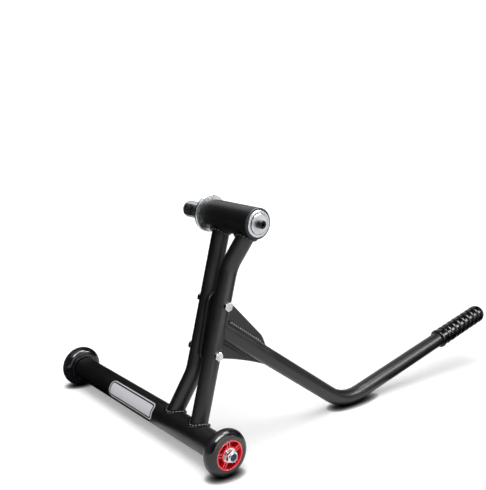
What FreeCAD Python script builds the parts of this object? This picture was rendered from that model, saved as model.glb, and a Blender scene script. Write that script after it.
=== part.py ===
import FreeCAD, Part
import math
import os
import re

import Sketcher

# Rear paddock stand for a motorcycle with a single-sided swingarm, in its raised position.
#
# Part frame, in millimetres: +X runs along the base tube towards the uprights and the lever, +Y runs
# from the wheels along the lever, and +Z is up. Left and right are those of the motorcycle's rider,
# so left is +X. The floor is z = 0, and the stand rests on its two wheels and on the bend of its
# lever. The origin is on the floor under the middle of the stand's overall box.
#
# Each size is written once, in the Sizes sheet. The Layout sheet works out from them where pieces
# meet. Expressions below are written with the plain names of those cells.

Vector = FreeCAD.Vector
Rotation = FreeCAD.Rotation
X_AXIS = Vector(1, 0, 0)
Z_AXIS = Vector(0, 0, 1)

SIZES = [
    # wheels and their axles
    ("wheel_diameter", 75.0, "over the tread"),
    ("tyre_width", 24.0, "between the tyre's side faces"),
    ("tread_round", 11.5, "radius between tread and side face"),
    ("wheel_spacing", 464.8, "between the middle planes of the two wheels"),
    ("wheel_gap", 5.0, "between a tyre's inner side face and the base tube's end"),
    ("rim_diameter", 47.6, "of the hub's rim, outside"),
    ("rim_wall", 2.3, "of the hub's rim"),
    ("lip_height", 0.6, "by which the rim stands out of the tyre's side"),
    ("web_thickness", 4.0, "of the disc between the hub's rim and core"),
    ("core_wall", 2.0, "round the bearing pockets"),
    ("core_setback", 0.8, "of the core's faces from the tyre's side faces"),
    ("hub_edge", 0.4, "bevel on the edges of the hub's rim and core"),
    ("spoke_count", 5, "double-ribbed spokes"),
    ("spoke_rib_wall", 1.5, "of one rib"),
    ("spoke_rib_pitch", 4.4, "between the two ribs of a spoke"),
    ("spoke_setback", 1.0, "of the ribs' edges from the tyre's side faces"),
    ("spoke_turn", 6.5, "degrees, from straight up to the first spoke"),
    ("bearing_diameter", 22.0, "outside, deep-groove ball bearing"),
    ("bearing_width", 6.0, "of one bearing"),
    ("race_wall", 1.6, "of the bearing's inner and outer rings"),
    ("shield_wall", 0.5, "of the bearing's shields"),
    ("shield_setback", 0.4, "of the shields from the ring faces"),
    ("axle_diameter", 10.0, "of the wheel studs"),
    ("plug_length", 14.0, "of the end plugs inside the base tube"),
    ("sleeve_wall", 1.5, "of the sleeve between the bearings' inner rings"),
    ("wheel_washer_thickness", 1.6, "under the wheel nut"),
    ("wheel_washer_diameter", 17.0, "under the wheel nut"),
    ("wheel_nut_flats", 17.0, "across the wheel nut's flats"),
    ("wheel_nut_height", 6.3, "of the wheel nut's hexagon"),
    ("nut_collar_height", 2.4, "of the crimped collar round the locking insert"),
    ("nut_collar_diameter", 15.0, "of that collar, outside"),
    ("nut_collar_wall", 1.2, "of that collar"),
    ("nut_collar_edge", 0.7, "bevel on that collar's rim"),
    ("stud_end", 0.8, "by which the stud stays inside the collar's end face"),
    # frame tubes
    ("base_tube_diameter", 42.4, "outside"),
    ("base_tube_wall", 2.6, "wall"),
    ("upright_diameter", 28.0, "of both uprights, outside"),
    ("upright_wall", 2.5, "of both uprights"),
    ("upright_bend_radius", 60.0, "of their centre line"),
    ("foot_inset", 56.4, "from the base tube's left end to the left upright's middle"),
    ("upright_kick", 37.0, "sideways reach of each upright's bent end"),
    ("left_bend", 271.0, "from the base tube's axis to the left upright's bend"),
    ("right_bend", 93.5, "from the base tube's axis to the right upright's bend"),
    ("receiver_height", 373.0, "of the lift pin's axis above the floor"),
    ("receiver_offset", 82.6, "of the lift pin's axis along Y from the base tube's axis"),
    ("receiver_diameter", 48.3, "outside"),
    ("receiver_wall", 3.5, "wall"),
    ("receiver_length", 118.0, "of the receiver tube"),
    ("receiver_overhang", 11.4, "from the left upright's top to the receiver's left end"),
    ("receiver_edge", 0.5, "bevel on the ends of the receiver"),
    # lift pin and what holds it
    ("bush_length", 25.0, "of each bush inside the receiver"),
    ("bush_proud", 2.4, "by which the left bush stands out of the receiver"),
    ("bush_edge", 0.7, "bevel on the left bush's rim"),
    ("journal_diameter", 30.0, "of the pin inside the bushes"),
    ("flange_diameter", 60.6, "of the pin's shoulder"),
    ("flange_thickness", 5.0, "of the pin's shoulder"),
    ("nose_diameter", 27.0, "of the pin's free end"),
    ("nose_length", 60.0, "of the pin's free end, from its shoulder"),
    ("nose_chamfer", 4.0, "at its tip"),
    ("disc_diameter", 31.0, "of the retaining disc"),
    ("disc_edge", 0.7, "bevel on the disc's rim"),
    ("disc_recess", 4.0, "depth of the disc's seat in the left bush"),
    ("disc_proud", 2.1, "by which the disc stands out of the left bush"),
    ("pin_screw_diameter", 8.0, "thread"),
    ("pin_screw_head", 13.0, "head diameter"),
    ("pin_screw_head_height", 7.6, "of the head"),
    ("pin_screw_edge", 0.8, "bevel on its head"),
    ("pin_screw_depth", 18.0, "of thread inside the pin"),
    ("pin_screw_socket", 6.0, "across the flats of its socket"),
    # lever
    ("lever_diameter", 28.0, "outside"),
    ("lever_wall", 2.5, "wall"),
    ("lever_bend_radius", 94.0, "of the centre line at the bend"),
    ("lever_front_angle", 35.5, "degrees, slope of the front stretch down to the bend"),
    ("lever_rear_angle", 13.5, "degrees, slope of the rear stretch up to the grip"),
    ("lever_foot_y", 345.6, "where the bend rests on the floor, from the base tube's axis"),
    ("lever_reach", 415.0, "from the bend's corner to the end of the grip"),
    ("plate_thickness", 8.0, "of the fishtail plate"),
    ("plate_edge", 0.6, "bevel round the fishtail plate"),
    ("lower_bolt_rise", 132.0, "from the base tube's axis to the lower bolt, along the uprights"),
    ("bolt_spacing", 78.6, "between the two lever bolts"),
    ("upper_bolt_margin", 17.0, "round the upper bolt, in the fishtail plate"),
    ("lower_bolt_margin", 13.0, "round the lower bolt, in the fishtail plate"),
    ("crown_run", 94.5, "from the uprights to the centre of the plate's crown, along the lever"),
    ("crown_drop", 7.9, "of that centre below the lever's centre line, square to it"),
    ("crown_round", 36.0, "radius of the plate's crown, where its upper edge turns down"),
    ("tip_run", 146.5, "from the uprights to the centre of the plate's tip, along the lever"),
    ("tip_drop", 5.5, "of that centre below the lever's centre line, square to it"),
    ("tip_round", 6.0, "radius of the plate's tip"),
    ("plate_hollow", 500.0, "radius of the plate's hollow lower edge"),
    ("bolt_diameter", 8.0, "of the lever bolts"),
    ("bolt_head_flats", 13.0, "across the flats of heads and nuts"),
    ("bolt_head_height", 5.3, "of the lever bolts' heads"),
    ("bolt_nut_height", 6.5, "of the lever bolts' nuts"),
    ("bolt_end", 1.5, "by which a bolt stands out of its nut"),
    ("bolt_tip", 0.8, "bevel on a bolt's end"),
    # grip
    ("grip_length", 138.0, "of the rubber grip"),
    ("grip_diameter", 32.8, "between its ribs"),
    ("grip_collar_diameter", 37.0, "of the collar at its mouth"),
    ("grip_collar_width", 6.0, "of the collar"),
    ("grip_ring_width", 6.0, "of the narrow ring behind the collar"),
    ("grip_rib_diameter", 35.6, "over the ribs"),
    ("grip_rib_count", 7, "ribs"),
    ("grip_rib_pitch", 14.8, "between ribs"),
    ("grip_ring_gap", 4.8, "from the narrow ring to the first rib"),
    ("grip_cap", 5.0, "of rubber over the tube's end"),
    ("grip_round", 6.0, "radius of the end's edge"),
    # clearances
    ("joint_gap", 0.3, "between bolted or turning flat faces"),
    ("weld_gap", 0.2, "root gap of a welded saddle"),
    ("press_gap", 0.05, "radial, for pieces pressed or glued together"),
    ("running_gap", 0.05, "radial, for the pin in its bushes"),
    ("thread_gap", 0.1, "radial, between a thread and its hole"),
    ("bolt_gap", 0.25, "radial, for bolts in plain holes"),
    ("disc_gap", 1.5, "radial, round the retaining disc"),
]

LAYOUT = [
    ("wheel_radius", "wheel_diameter / 2"),
    ("half_track", "wheel_spacing / 2"),
    ("base_tube_half", "half_track - tyre_width / 2 - wheel_gap"),
    ("left_upright_x", "base_tube_half - foot_inset"),
    ("base_bore", "base_tube_diameter / 2 - base_tube_wall"),
    ("core_face", "tyre_width / 2 - core_setback"),
    ("pocket_floor", "core_face - bearing_width"),
    ("nut_seat", "core_face + wheel_washer_thickness"),
    ("nut_face", "nut_seat + wheel_nut_height"),
    ("collar_face", "nut_face + nut_collar_height"),
    # the uprights' plane: through the base tube's axis and the receiver's axis
    ("lean_rise", "receiver_height - wheel_radius"),
    ("lean_angle", "atan2(receiver_offset; lean_rise) / 1deg"),
    ("upright_span", "hypot(receiver_offset; lean_rise)"),
    ("right_upright_x", "left_upright_x - upright_diameter - plate_thickness - 2 * joint_gap"),
    ("right_foot_x", "right_upright_x - upright_kick"),
    ("left_top_x", "left_upright_x + upright_kick"),
    ("receiver_end_x", "left_top_x + receiver_overhang"),
    ("plate_x", "left_upright_x - upright_diameter / 2 - joint_gap - plate_thickness / 2"),
    ("receiver_bore", "receiver_diameter / 2 - receiver_wall"),
    ("receiver_x", "receiver_end_x - receiver_length"),
    ("bush_face", "receiver_length + bush_proud"),
    ("pin_end", "bush_face - disc_recess + joint_gap"),
    ("disc_face", "bush_face + disc_proud"),
    # the lever's centre line, from the base tube's axis: the bend rests on the floor
    ("lever_radius", "lever_diameter / 2"),
    ("lever_half_turn", "(lever_front_angle + lever_rear_angle) / 2"),
    ("lever_skew", "(lever_rear_angle - lever_front_angle) / 2"),
    ("corner_drop", "lever_bend_radius / cos(lever_half_turn)"),
    ("corner_y", "lever_foot_y + corner_drop * sin(lever_skew)"),
    ("corner_z", "lever_radius + lever_bend_radius - corner_drop * cos(lever_skew)"),
    ("lean_slope", "receiver_offset / lean_rise"),
    ("lever_lead", "corner_y - lean_slope * (corner_z - wheel_radius)"),
    ("lever_front_run", "lever_lead / (cos(lever_front_angle) + lean_slope * sin(lever_front_angle))"),
    ("lever_head_y", "corner_y - lever_front_run * cos(lever_front_angle)"),
    ("lever_head_z", "corner_z + lever_front_run * sin(lever_front_angle)"),
    ("lever_tube_run", "lever_reach - grip_cap"),
    ("lever_tail_y", "corner_y + lever_tube_run * cos(lever_rear_angle)"),
    ("lever_tail_z", "corner_z + lever_tube_run * sin(lever_rear_angle)"),
    # the lever bolts, from the base tube's axis
    ("lower_bolt_y", "lower_bolt_rise * sin(lean_angle)"),
    ("lower_bolt_z", "wheel_radius + lower_bolt_rise * cos(lean_angle)"),
    ("upper_bolt_y", "(lower_bolt_rise + bolt_spacing) * sin(lean_angle)"),
    ("upper_bolt_z", "wheel_radius + (lower_bolt_rise + bolt_spacing) * cos(lean_angle)"),
    # the grip, along the lever's rear stretch from the bend's corner
    ("grip_start", "lever_reach - grip_length"),
    ("first_rib", "lever_reach - grip_round - grip_rib_pitch * grip_rib_count"),
    ("grip_tip_y", "(lever_reach - grip_round) * cos(lever_rear_angle)"),
    ("grip_tip_side", "(grip_diameter / 2 - grip_round) * sin(lever_rear_angle)"),
    ("overall_end_y", "corner_y + grip_tip_y + grip_tip_side + grip_round"),
    ("axle_y", "(wheel_radius - overall_end_y) / 2"),
]

doc = FreeCAD.newDocument("PaddockStand")
nodes = []


# ---------------------------------------------------------------------------------- sheets

def fill_sheet(name, rows):
    """Write one row per size: its name, its value or formula, and what it is."""
    sheet = doc.addObject("Spreadsheet::Sheet", name)
    for row, entry in enumerate(rows, start=1):
        sheet.set(f"A{row}", entry[0])
        sheet.set(f"B{row}", entry[1])
        sheet.setAlias(f"B{row}", entry[0])
        sheet.set(f"C{row}", entry[2])
    doc.recompute()
    return sheet


SHEET_OF = {entry[0]: "Sizes" for entry in SIZES}
SHEET_OF.update({entry[0]: "Layout" for entry in LAYOUT})


def bound(text):
    """Turn plain cell names in an expression into references to their sheets."""
    def reference(match):
        word = match.group(0)
        return f"{SHEET_OF[word]}.{word}" if word in SHEET_OF else word
    return re.sub(r"[a-z][a-z_]+", reference, text)


sizes = fill_sheet("Sizes", [(name, str(number), note) for name, number, note in SIZES])
fill_sheet("Layout", [(name, "=" + bound(formula).replace("Layout.", ""), "")
                      for name, formula in LAYOUT])


def value(text):
    """The number that an expression gives with the sizes as they are."""
    return float(sizes.evalExpression(bound(text)))


# ------------------------------------------------------------------------------- placement

def place(thing, base, axis=X_AXIS, angle="0"):
    """Bind an object's place, and its turn about one axis, to expressions."""
    thing.Placement = FreeCAD.Placement(Vector(*[value(item) for item in base]),
                                        Rotation(axis, value(angle)))
    for letter, text in zip("xyz", base):
        thing.setExpression(f".Placement.Base.{letter}", bound(text))
    if angle != "0":
        thing.setExpression(".Placement.Rotation.Angle", bound(angle))


def finish(thing, label):
    """Name an object and keep it as one of the stand's pieces."""
    thing.Label = label
    nodes.append(thing)
    return thing


def new_body(label):
    """Start one piece."""
    body = doc.addObject("PartDesign::Body", "Body_" + label)
    return finish(body, label)


def origin_feature(body, role):
    """One of a body's own origin planes or axes."""
    return next(item for item in body.Origin.OriginFeatures if item.Role == role)


# -------------------------------------------------------------------------------- sketches

def new_sketch(body, plane, offset=None, turn="0"):
    """An empty sketch on one of the body's planes, moved along its normal and turned about it."""
    sketch = body.newObject("Sketcher::SketchObject", "Sketch")
    sketch.AttachmentSupport = [(origin_feature(body, plane), "")]
    sketch.MapMode = "FlatFace"
    if offset is not None:
        sketch.AttachmentOffset = FreeCAD.Placement(Vector(0, 0, value(offset)),
                                                    Rotation(Z_AXIS, value(turn)))
        sketch.setExpression(".AttachmentOffset.Base.z", bound(offset))
    if turn != "0":
        sketch.setExpression(".AttachmentOffset.Rotation.Angle", bound(turn))
    return sketch


def pin_down(sketch, geometry, vertex, point):
    """Hold a vertex at a pair of expressions, measured from the sketch's origin."""
    for kind, text in zip(("DistanceX", "DistanceY"), point):
        rule = Sketcher.Constraint(kind, -1, 1, geometry, vertex, value(text))
        index = sketch.addConstraint(rule)
        sketch.setExpression(f"Constraints[{index}]", bound(text))


def hold_radius(sketch, geometry, radius):
    """Bind the radius of a circle or an arc."""
    index = sketch.addConstraint(Sketcher.Constraint("Radius", geometry, value(radius)))
    sketch.setExpression(f"Constraints[{index}]", bound(radius))


def draw_outline(sketch, points):
    """A closed run of straight lines through pairs of expressions."""
    corners = [Vector(value(a), value(b), 0) for a, b in points]
    first = sketch.GeometryCount
    count = len(corners)
    for index in range(count):
        sketch.addGeometry(Part.LineSegment(corners[index], corners[(index + 1) % count]), False)
    for index in range(count):
        following = first + (index + 1) % count
        sketch.addConstraint(Sketcher.Constraint("Coincident", first + index, 2, following, 1))
        pin_down(sketch, first + index, 1, points[index])


def draw_circle(sketch, centre, radius):
    """A circle whose centre and radius are expressions."""
    middle = Vector(value(centre[0]), value(centre[1]), 0)
    index = sketch.addGeometry(Part.Circle(middle, Z_AXIS, value(radius)), False)
    pin_down(sketch, index, 3, centre)
    hold_radius(sketch, index, radius)


def draw_bend(sketch, start, corner, end, radius):
    """Two straight runs joined by a tangent arc: a bent tube's centre line."""
    tail, knee, head = [Vector(value(a), value(b), 0) for a, b in (start, corner, end)]
    size = value(radius)
    run_in = (knee - tail).normalize()
    run_out = (head - knee).normalize()
    turn = run_in.getAngle(run_out)
    setback = size * math.tan(turn / 2)
    entry = knee - run_in * setback
    leave = knee + run_out * setback
    left_turn = run_in.x * run_out.y - run_in.y * run_out.x > 0
    side = Vector(-run_in.y, run_in.x, 0) if left_turn else Vector(run_in.y, -run_in.x, 0)
    middle = entry + side * size
    ends = (entry, leave) if left_turn else (leave, entry)
    angles = [math.atan2(point.y - middle.y, point.x - middle.x) for point in ends]
    if angles[1] < angles[0]:
        angles[1] += 2 * math.pi
    first = sketch.addGeometry(Part.LineSegment(tail, entry), False)
    arc = sketch.addGeometry(Part.ArcOfCircle(Part.Circle(middle, Z_AXIS, size), *angles), False)
    last = sketch.addGeometry(Part.LineSegment(leave, head), False)
    marker = sketch.addGeometry(Part.Point(knee), True)
    arc_in, arc_out = (1, 2) if left_turn else (2, 1)
    sketch.addConstraint(Sketcher.Constraint("Tangent", first, 2, arc, arc_in))
    sketch.addConstraint(Sketcher.Constraint("Tangent", arc, arc_out, last, 1))
    sketch.addConstraint(Sketcher.Constraint("PointOnObject", marker, 1, first))
    sketch.addConstraint(Sketcher.Constraint("PointOnObject", marker, 1, last))
    pin_down(sketch, marker, 1, corner)
    pin_down(sketch, first, 1, start)
    pin_down(sketch, last, 2, end)
    hold_radius(sketch, arc, radius)


def belt_joint(start, start_radius, end, end_radius, hollow):
    """What joins two rounds on their right: a straight line, or a hollow arc of a given radius.

    Gives the arc's centre, or None for a line, and the directions of the two touching points, seen
    from the rounds' centres.
    """
    gap = end - start
    heading = math.atan2(gap.y, gap.x)
    if hollow is None:
        normal = heading - math.acos((start_radius - end_radius) / gap.Length)
        return None, normal, normal
    near = start_radius + hollow
    far = end_radius + hollow
    turn = math.acos((near ** 2 + gap.Length ** 2 - far ** 2) / (2 * near * gap.Length))
    centre = start + Vector(math.cos(heading - turn), math.sin(heading - turn), 0) * near
    return centre, heading - turn, math.atan2(centre.y - end.y, centre.x - end.x)


def draw_belt(sketch, rounds):
    """A closed outline of arcs round several centres, each joined to the next one tangentially.

    The rounds run anticlockwise. Each is a centre, a radius, and the radius of the hollow that
    leads to the next round, or None where a straight line does. All are expressions.
    """
    centres = [Vector(value(a), value(b), 0) for (a, b), _, _ in rounds]
    radii = [value(radius) for _, radius, _ in rounds]
    joints = []
    for index, (_, _, hollow) in enumerate(rounds):
        onward = (index + 1) % len(rounds)
        hollow_radius = None if hollow is None else value(hollow)
        joints.append(belt_joint(centres[index], radii[index], centres[onward], radii[onward],
                                 hollow_radius))

    def touching(index, angle):
        return centres[index] + Vector(math.cos(angle), math.sin(angle), 0) * radii[index]

    links = []
    for index, (middle, leave, arrive) in enumerate(joints):
        onward = (index + 1) % len(rounds)
        start = touching(index, leave)
        end = touching(onward, arrive)
        if middle is None:
            links.append((sketch.addGeometry(Part.LineSegment(start, end), False), 1, 2))
            continue
        size = value(rounds[index][2])
        spread = [math.atan2(point.y - middle.y, point.x - middle.x) for point in (end, start)]
        if spread[1] < spread[0]:
            spread[1] += 2 * math.pi
        circle = Part.Circle(middle, Z_AXIS, size)
        links.append((sketch.addGeometry(Part.ArcOfCircle(circle, *spread), False), 2, 1))
        hold_radius(sketch, links[-1][0], rounds[index][2])
    for index, (centre, radius, _) in enumerate(rounds):
        start = joints[index - 1][2]
        stop = joints[index][1]
        while stop < start:
            stop += 2 * math.pi
        circle = Part.Circle(centres[index], Z_AXIS, radii[index])
        arc = sketch.addGeometry(Part.ArcOfCircle(circle, start, stop), False)
        before, _, before_end = links[index - 1]
        after, after_start, _ = links[index]
        sketch.addConstraint(Sketcher.Constraint("Tangent", before, before_end, arc, 1))
        sketch.addConstraint(Sketcher.Constraint("Tangent", arc, 2, after, after_start))
        pin_down(sketch, arc, 3, centre)
        hold_radius(sketch, arc, radius)


# -------------------------------------------------------------------------------- features

def revolve(body, points, along="X"):
    """Turn an outline of (place along the axis, radius) pairs about the body's X or Y axis."""
    sketch = new_sketch(body, "XY_Plane")
    turned_points = points if along == "X" else [(radius, station) for station, radius in points]
    draw_outline(sketch, turned_points)
    feature = body.newObject("PartDesign::Revolution", "Revolution")
    feature.Profile = sketch
    feature.ReferenceAxis = (sketch, ["H_Axis" if along == "X" else "V_Axis"])
    feature.Angle = 360
    doc.recompute()
    return feature


def turn_down(body, points):
    """Cut an outline of (place along X, radius) pairs away all round the body's X axis."""
    before = body.Shape.Volume
    sketch = new_sketch(body, "XY_Plane")
    draw_outline(sketch, points)
    feature = body.newObject("PartDesign::Groove", "Groove")
    feature.Profile = sketch
    feature.ReferenceAxis = (sketch, ["H_Axis"])
    feature.Angle = 360
    doc.recompute()
    if not feature.Shape.Volume < before:
        raise RuntimeError(f"{body.Label}: a groove removed nothing")
    return feature


def bevel_corners(body, flats, face, outward):
    """Turn the corners of a hexagon about X down at one face, at 30 degrees, as on nuts and bolts.

    The cone starts on the face at 0.95 of the distance across the flats. Outward is 1 where the
    face looks along +X and -1 where it looks along -X.
    """
    start = f"0.95 * {flats} / 2"
    stop = f"{flats} / 2 / cos(30) + 1"
    depth = f"({stop} - ({start})) * tan(30)"
    return turn_down(body, [(face, start), (face, stop), (f"{face} - {outward} * {depth}", stop)])


def turned(label, points, base, along="X", axis=Z_AXIS, angle="0"):
    """A lathe-turned piece."""
    body = new_body(label)
    revolve(body, points, along)
    place(body, base, axis, angle)
    return body


def ring(inner, outer, start, stop):
    """The outline of a plain ring or sleeve."""
    return [(start, inner), (stop, inner), (stop, outer), (start, outer)]


def pad(body, sketch, length):
    """Raise a sketch along its normal."""
    feature = body.newObject("PartDesign::Pad", "Pad")
    feature.Profile = sketch
    feature.Length = value(length)
    feature.setExpression("Length", bound(length))
    doc.recompute()
    return feature


def cut_through(body, sketch):
    """Cut a sketch through the whole piece, both ways, and check that it removed something."""
    before = body.Shape.Volume
    feature = body.newObject("PartDesign::Pocket", "Pocket")
    feature.Profile = sketch
    feature.Type = "ThroughAll"
    feature.SideType = "Symmetric"
    doc.recompute()
    if not feature.Shape.Volume < before:
        raise RuntimeError(f"{body.Label}: a cut removed nothing")
    return feature


def repeat_about_x(body, features, count):
    """Copy features round the body's X axis."""
    pattern = body.newObject("PartDesign::PolarPattern", "PolarPattern")
    pattern.Originals = features
    pattern.Axis = (origin_feature(body, "X_Axis"), [""])
    pattern.Angle = 360
    pattern.Occurrences = int(value(count))
    pattern.setExpression("Occurrences", bound(count))
    body.Tip = pattern
    doc.recompute()
    return pattern


def repeat_along(body, features, role, length, count):
    """Copy features along one of the body's axes; length runs from the first to the last."""
    pattern = body.newObject("PartDesign::LinearPattern", "LinearPattern")
    pattern.Originals = features
    pattern.Direction = (origin_feature(body, role), [""])
    pattern.Length = value(length)
    pattern.setExpression("Length", bound(length))
    pattern.Occurrences = int(value(count))
    pattern.setExpression("Occurrences", bound(count))
    body.Tip = pattern
    doc.recompute()
    return pattern


def mirror_across_x(body, features):
    """Copy features to the other side of the body's YZ plane."""
    mirrored = body.newObject("PartDesign::Mirrored", "Mirrored")
    mirrored.Originals = features
    mirrored.MirrorPlane = (origin_feature(body, "YZ_Plane"), [""])
    body.Tip = mirrored
    doc.recompute()
    return mirrored


def hexagon(flats):
    """Corners of a hexagon with two flats upright, as expressions."""
    half = f"{flats} / 2"
    rise = f"{flats} / 2 * tan(30)"
    peak = f"{flats} / 2 / cos(30)"
    return [(half, f"-({rise})"), (half, rise), ("0", peak),
            (f"-({half})", rise), (f"-({half})", f"-({rise})"), ("0", f"-({peak})")]


def shift(points, across, up):
    """Move an outline by a pair of expressions."""
    return [(f"{a} + {across}", f"{b} + {up}") for a, b in points]


def sweep_tube(body, plane, path, radius, diameter, wall):
    """A round tube along a path with one bend."""
    spine = new_sketch(body, plane)
    draw_bend(spine, *path, radius)
    doc.recompute()
    profile = body.newObject("Sketcher::SketchObject", "Section")
    profile.AttachmentSupport = [(spine, "Edge1")]
    profile.MapMode = "NormalToEdge"
    profile.MapPathParameter = 0
    draw_circle(profile, ("0", "0"), f"{diameter} / 2")
    draw_circle(profile, ("0", "0"), f"{diameter} / 2 - {wall}")
    doc.recompute()
    pipe = body.newObject("PartDesign::AdditivePipe", "Pipe")
    pipe.Profile = profile
    pipe.Spine = (spine, ["Edge1", "Edge2", "Edge3"])
    doc.recompute()
    return pipe


# ---------------------------------------------------------------------------------- wheels

AXLE = ("axle_y", "wheel_radius")


def wheel_side(side, sign, angle):
    """One wheel with its bearings and what holds it on the base tube's end.

    Local X points away from the base tube and starts at the wheel's middle plane, so the right
    side's pieces are turned half a turn about Z.
    """
    base = (f"{sign} * half_track", *AXLE)
    axle = "axle_diameter / 2"
    race_in = f"{axle} + thread_gap"
    race_out = "bearing_diameter / 2"
    inner_race_top = f"{race_in} + race_wall"
    outer_race_floor = f"{race_out} - race_wall"
    tube_end = "-(tyre_width / 2 + wheel_gap)"
    plug_start = f"{tube_end} - plug_length"

    turned(f"{side}_end_plug", [
        (plug_start, race_in),
        ("-core_face", race_in),
        ("-core_face", inner_race_top),
        (tube_end, inner_race_top),
        (tube_end, "base_bore - press_gap"),
        (plug_start, "base_bore - press_gap"),
    ], base, angle=angle)

    stud_tip = "collar_face - stud_end"
    turned(f"{side}_wheel_stud", [
        (plug_start, "0"),
        (stud_tip, "0"),
        (stud_tip, f"{axle} - 1"),
        (f"{stud_tip} - 1", axle),
        (plug_start, axle),
    ], base, angle=angle)

    turned(f"{side}_bearing_sleeve",
           ring(race_in, f"{race_in} + sleeve_wall", "-pocket_floor", "pocket_floor"),
           base, angle=angle)

    inner_rings = new_body(f"{side}_bearing_inner_rings")
    feature = revolve(inner_rings, ring(race_in, inner_race_top, "pocket_floor", "core_face"))
    mirror_across_x(inner_rings, [feature])
    place(inner_rings, base, Z_AXIS, angle)

    shield_start = "core_face - shield_setback - shield_wall"
    shield_stop = "core_face - shield_setback"
    back_start = "pocket_floor + shield_setback"
    back_stop = "pocket_floor + shield_setback + shield_wall"
    shield_edge = f"{inner_race_top} + joint_gap"
    outer_rings = new_body(f"{side}_bearing_outer_rings")
    feature = revolve(outer_rings, [
        ("pocket_floor", race_out),
        ("pocket_floor", outer_race_floor),
        (back_start, outer_race_floor),
        (back_start, shield_edge),
        (back_stop, shield_edge),
        (back_stop, outer_race_floor),
        (shield_start, outer_race_floor),
        (shield_start, shield_edge),
        (shield_stop, shield_edge),
        (shield_stop, outer_race_floor),
        ("core_face", outer_race_floor),
        ("core_face", race_out),
    ])
    mirror_across_x(outer_rings, [feature])
    place(outer_rings, base, Z_AXIS, angle)

    wheel_hub(side, base, angle)

    tyre = new_body(f"{side}_wheel_tyre")
    band = revolve(tyre, ring("rim_diameter / 2 + press_gap", "wheel_radius",
                              "-tyre_width / 2", "tyre_width / 2"))
    outer_edges = [f"Edge{index}" for index, edge in enumerate(band.Shape.Edges, start=1)
                   if isinstance(edge.Curve, Part.Circle)
                   and abs(edge.Curve.Radius - value("wheel_radius")) < 1e-6]
    rounding = tyre.newObject("PartDesign::Fillet", "TreadRound")
    rounding.Base = (band, outer_edges)
    rounding.Radius = value("tread_round")
    rounding.setExpression("Radius", bound("tread_round"))
    doc.recompute()
    place(tyre, base, Z_AXIS, angle)

    turned(f"{side}_wheel_washer",
           ring(race_in, "wheel_washer_diameter / 2", "core_face", "nut_seat"), base, angle=angle)
    wheel_nut(side, base, angle)


def wheel_hub(side, base, angle):
    """The spoked hub: a rim, a web and a core with two bearing pockets, and ribs on both faces."""
    hub = new_body(f"{side}_wheel_hub")
    rim_edge = "tyre_width / 2 + lip_height"
    rim_floor = "rim_diameter / 2 - rim_wall"
    core = "bearing_diameter / 2 + core_wall"
    pocket = "bearing_diameter / 2 + press_gap"
    shoulder = "bearing_diameter / 2 - race_wall"
    profile = [
        (f"{rim_edge} - hub_edge", "rim_diameter / 2"),
        (rim_edge, "rim_diameter / 2 - hub_edge"),
        (rim_edge, f"{rim_floor} + hub_edge"),
        (f"{rim_edge} - hub_edge", rim_floor),
        ("web_thickness / 2", rim_floor),
        ("web_thickness / 2", core),
        ("core_face - hub_edge", core),
        ("core_face", f"{core} - hub_edge"),
        ("core_face", pocket),
        ("pocket_floor", pocket),
        ("pocket_floor", shoulder),
    ]
    mirrored = [(f"-({station})", radius) for station, radius in reversed(profile)]
    revolve(hub, profile + mirrored)

    rib_foot = "bearing_diameter / 2 + core_wall * 0.6"
    rib_head = "rim_diameter / 2 - rim_wall * 0.7"
    ribs = new_sketch(hub, "YZ_Plane", "spoke_setback - tyre_width / 2", "spoke_turn")
    for hand in ("-1", "1"):
        near = f"{hand} * (spoke_rib_pitch / 2 - spoke_rib_wall / 2)"
        far = f"{hand} * (spoke_rib_pitch / 2 + spoke_rib_wall / 2)"
        draw_outline(ribs, [(near, rib_foot), (far, rib_foot), (far, rib_head), (near, rib_head)])
    spoke = pad(hub, ribs, "tyre_width - 2 * spoke_setback")
    repeat_about_x(hub, [spoke], "spoke_count")
    place(hub, base, Z_AXIS, angle)


def wheel_nut(side, base, angle):
    """The locking nut, with a round collar crimped over a plastic insert."""
    bore = "axle_diameter / 2 + thread_gap"
    collar = "nut_collar_diameter / 2"
    nut = new_body(f"{side}_wheel_nut")
    flats = new_sketch(nut, "YZ_Plane", "nut_seat")
    draw_outline(flats, hexagon("wheel_nut_flats"))
    draw_circle(flats, ("0", "0"), bore)
    pad(nut, flats, "wheel_nut_height")
    bevel_corners(nut, "wheel_nut_flats", "nut_face", "1")
    bevel_corners(nut, "wheel_nut_flats", "nut_seat", "-1")
    collar_root = "nut_face - nut_collar_edge"
    revolve(nut, [
        (collar_root, f"{collar} - nut_collar_wall"),
        ("collar_face", f"{collar} - nut_collar_wall"),
        ("collar_face", f"{collar} - nut_collar_edge"),
        ("collar_face - nut_collar_edge", collar),
        (collar_root, collar),
    ])
    place(nut, base, Z_AXIS, angle)
    turned(f"{side}_nut_insert",
           ring(bore, f"{collar} - nut_collar_wall - press_gap",
                "nut_face", "collar_face - stud_end"), base, angle=angle)


# ----------------------------------------------------------------------------------- frame

def base_tube():
    """The cross tube that carries both wheels and both uprights."""
    turned("base_tube", ring("base_bore", "base_tube_diameter / 2",
                             "-base_tube_half", "base_tube_half"), ("0", *AXLE))


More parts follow.
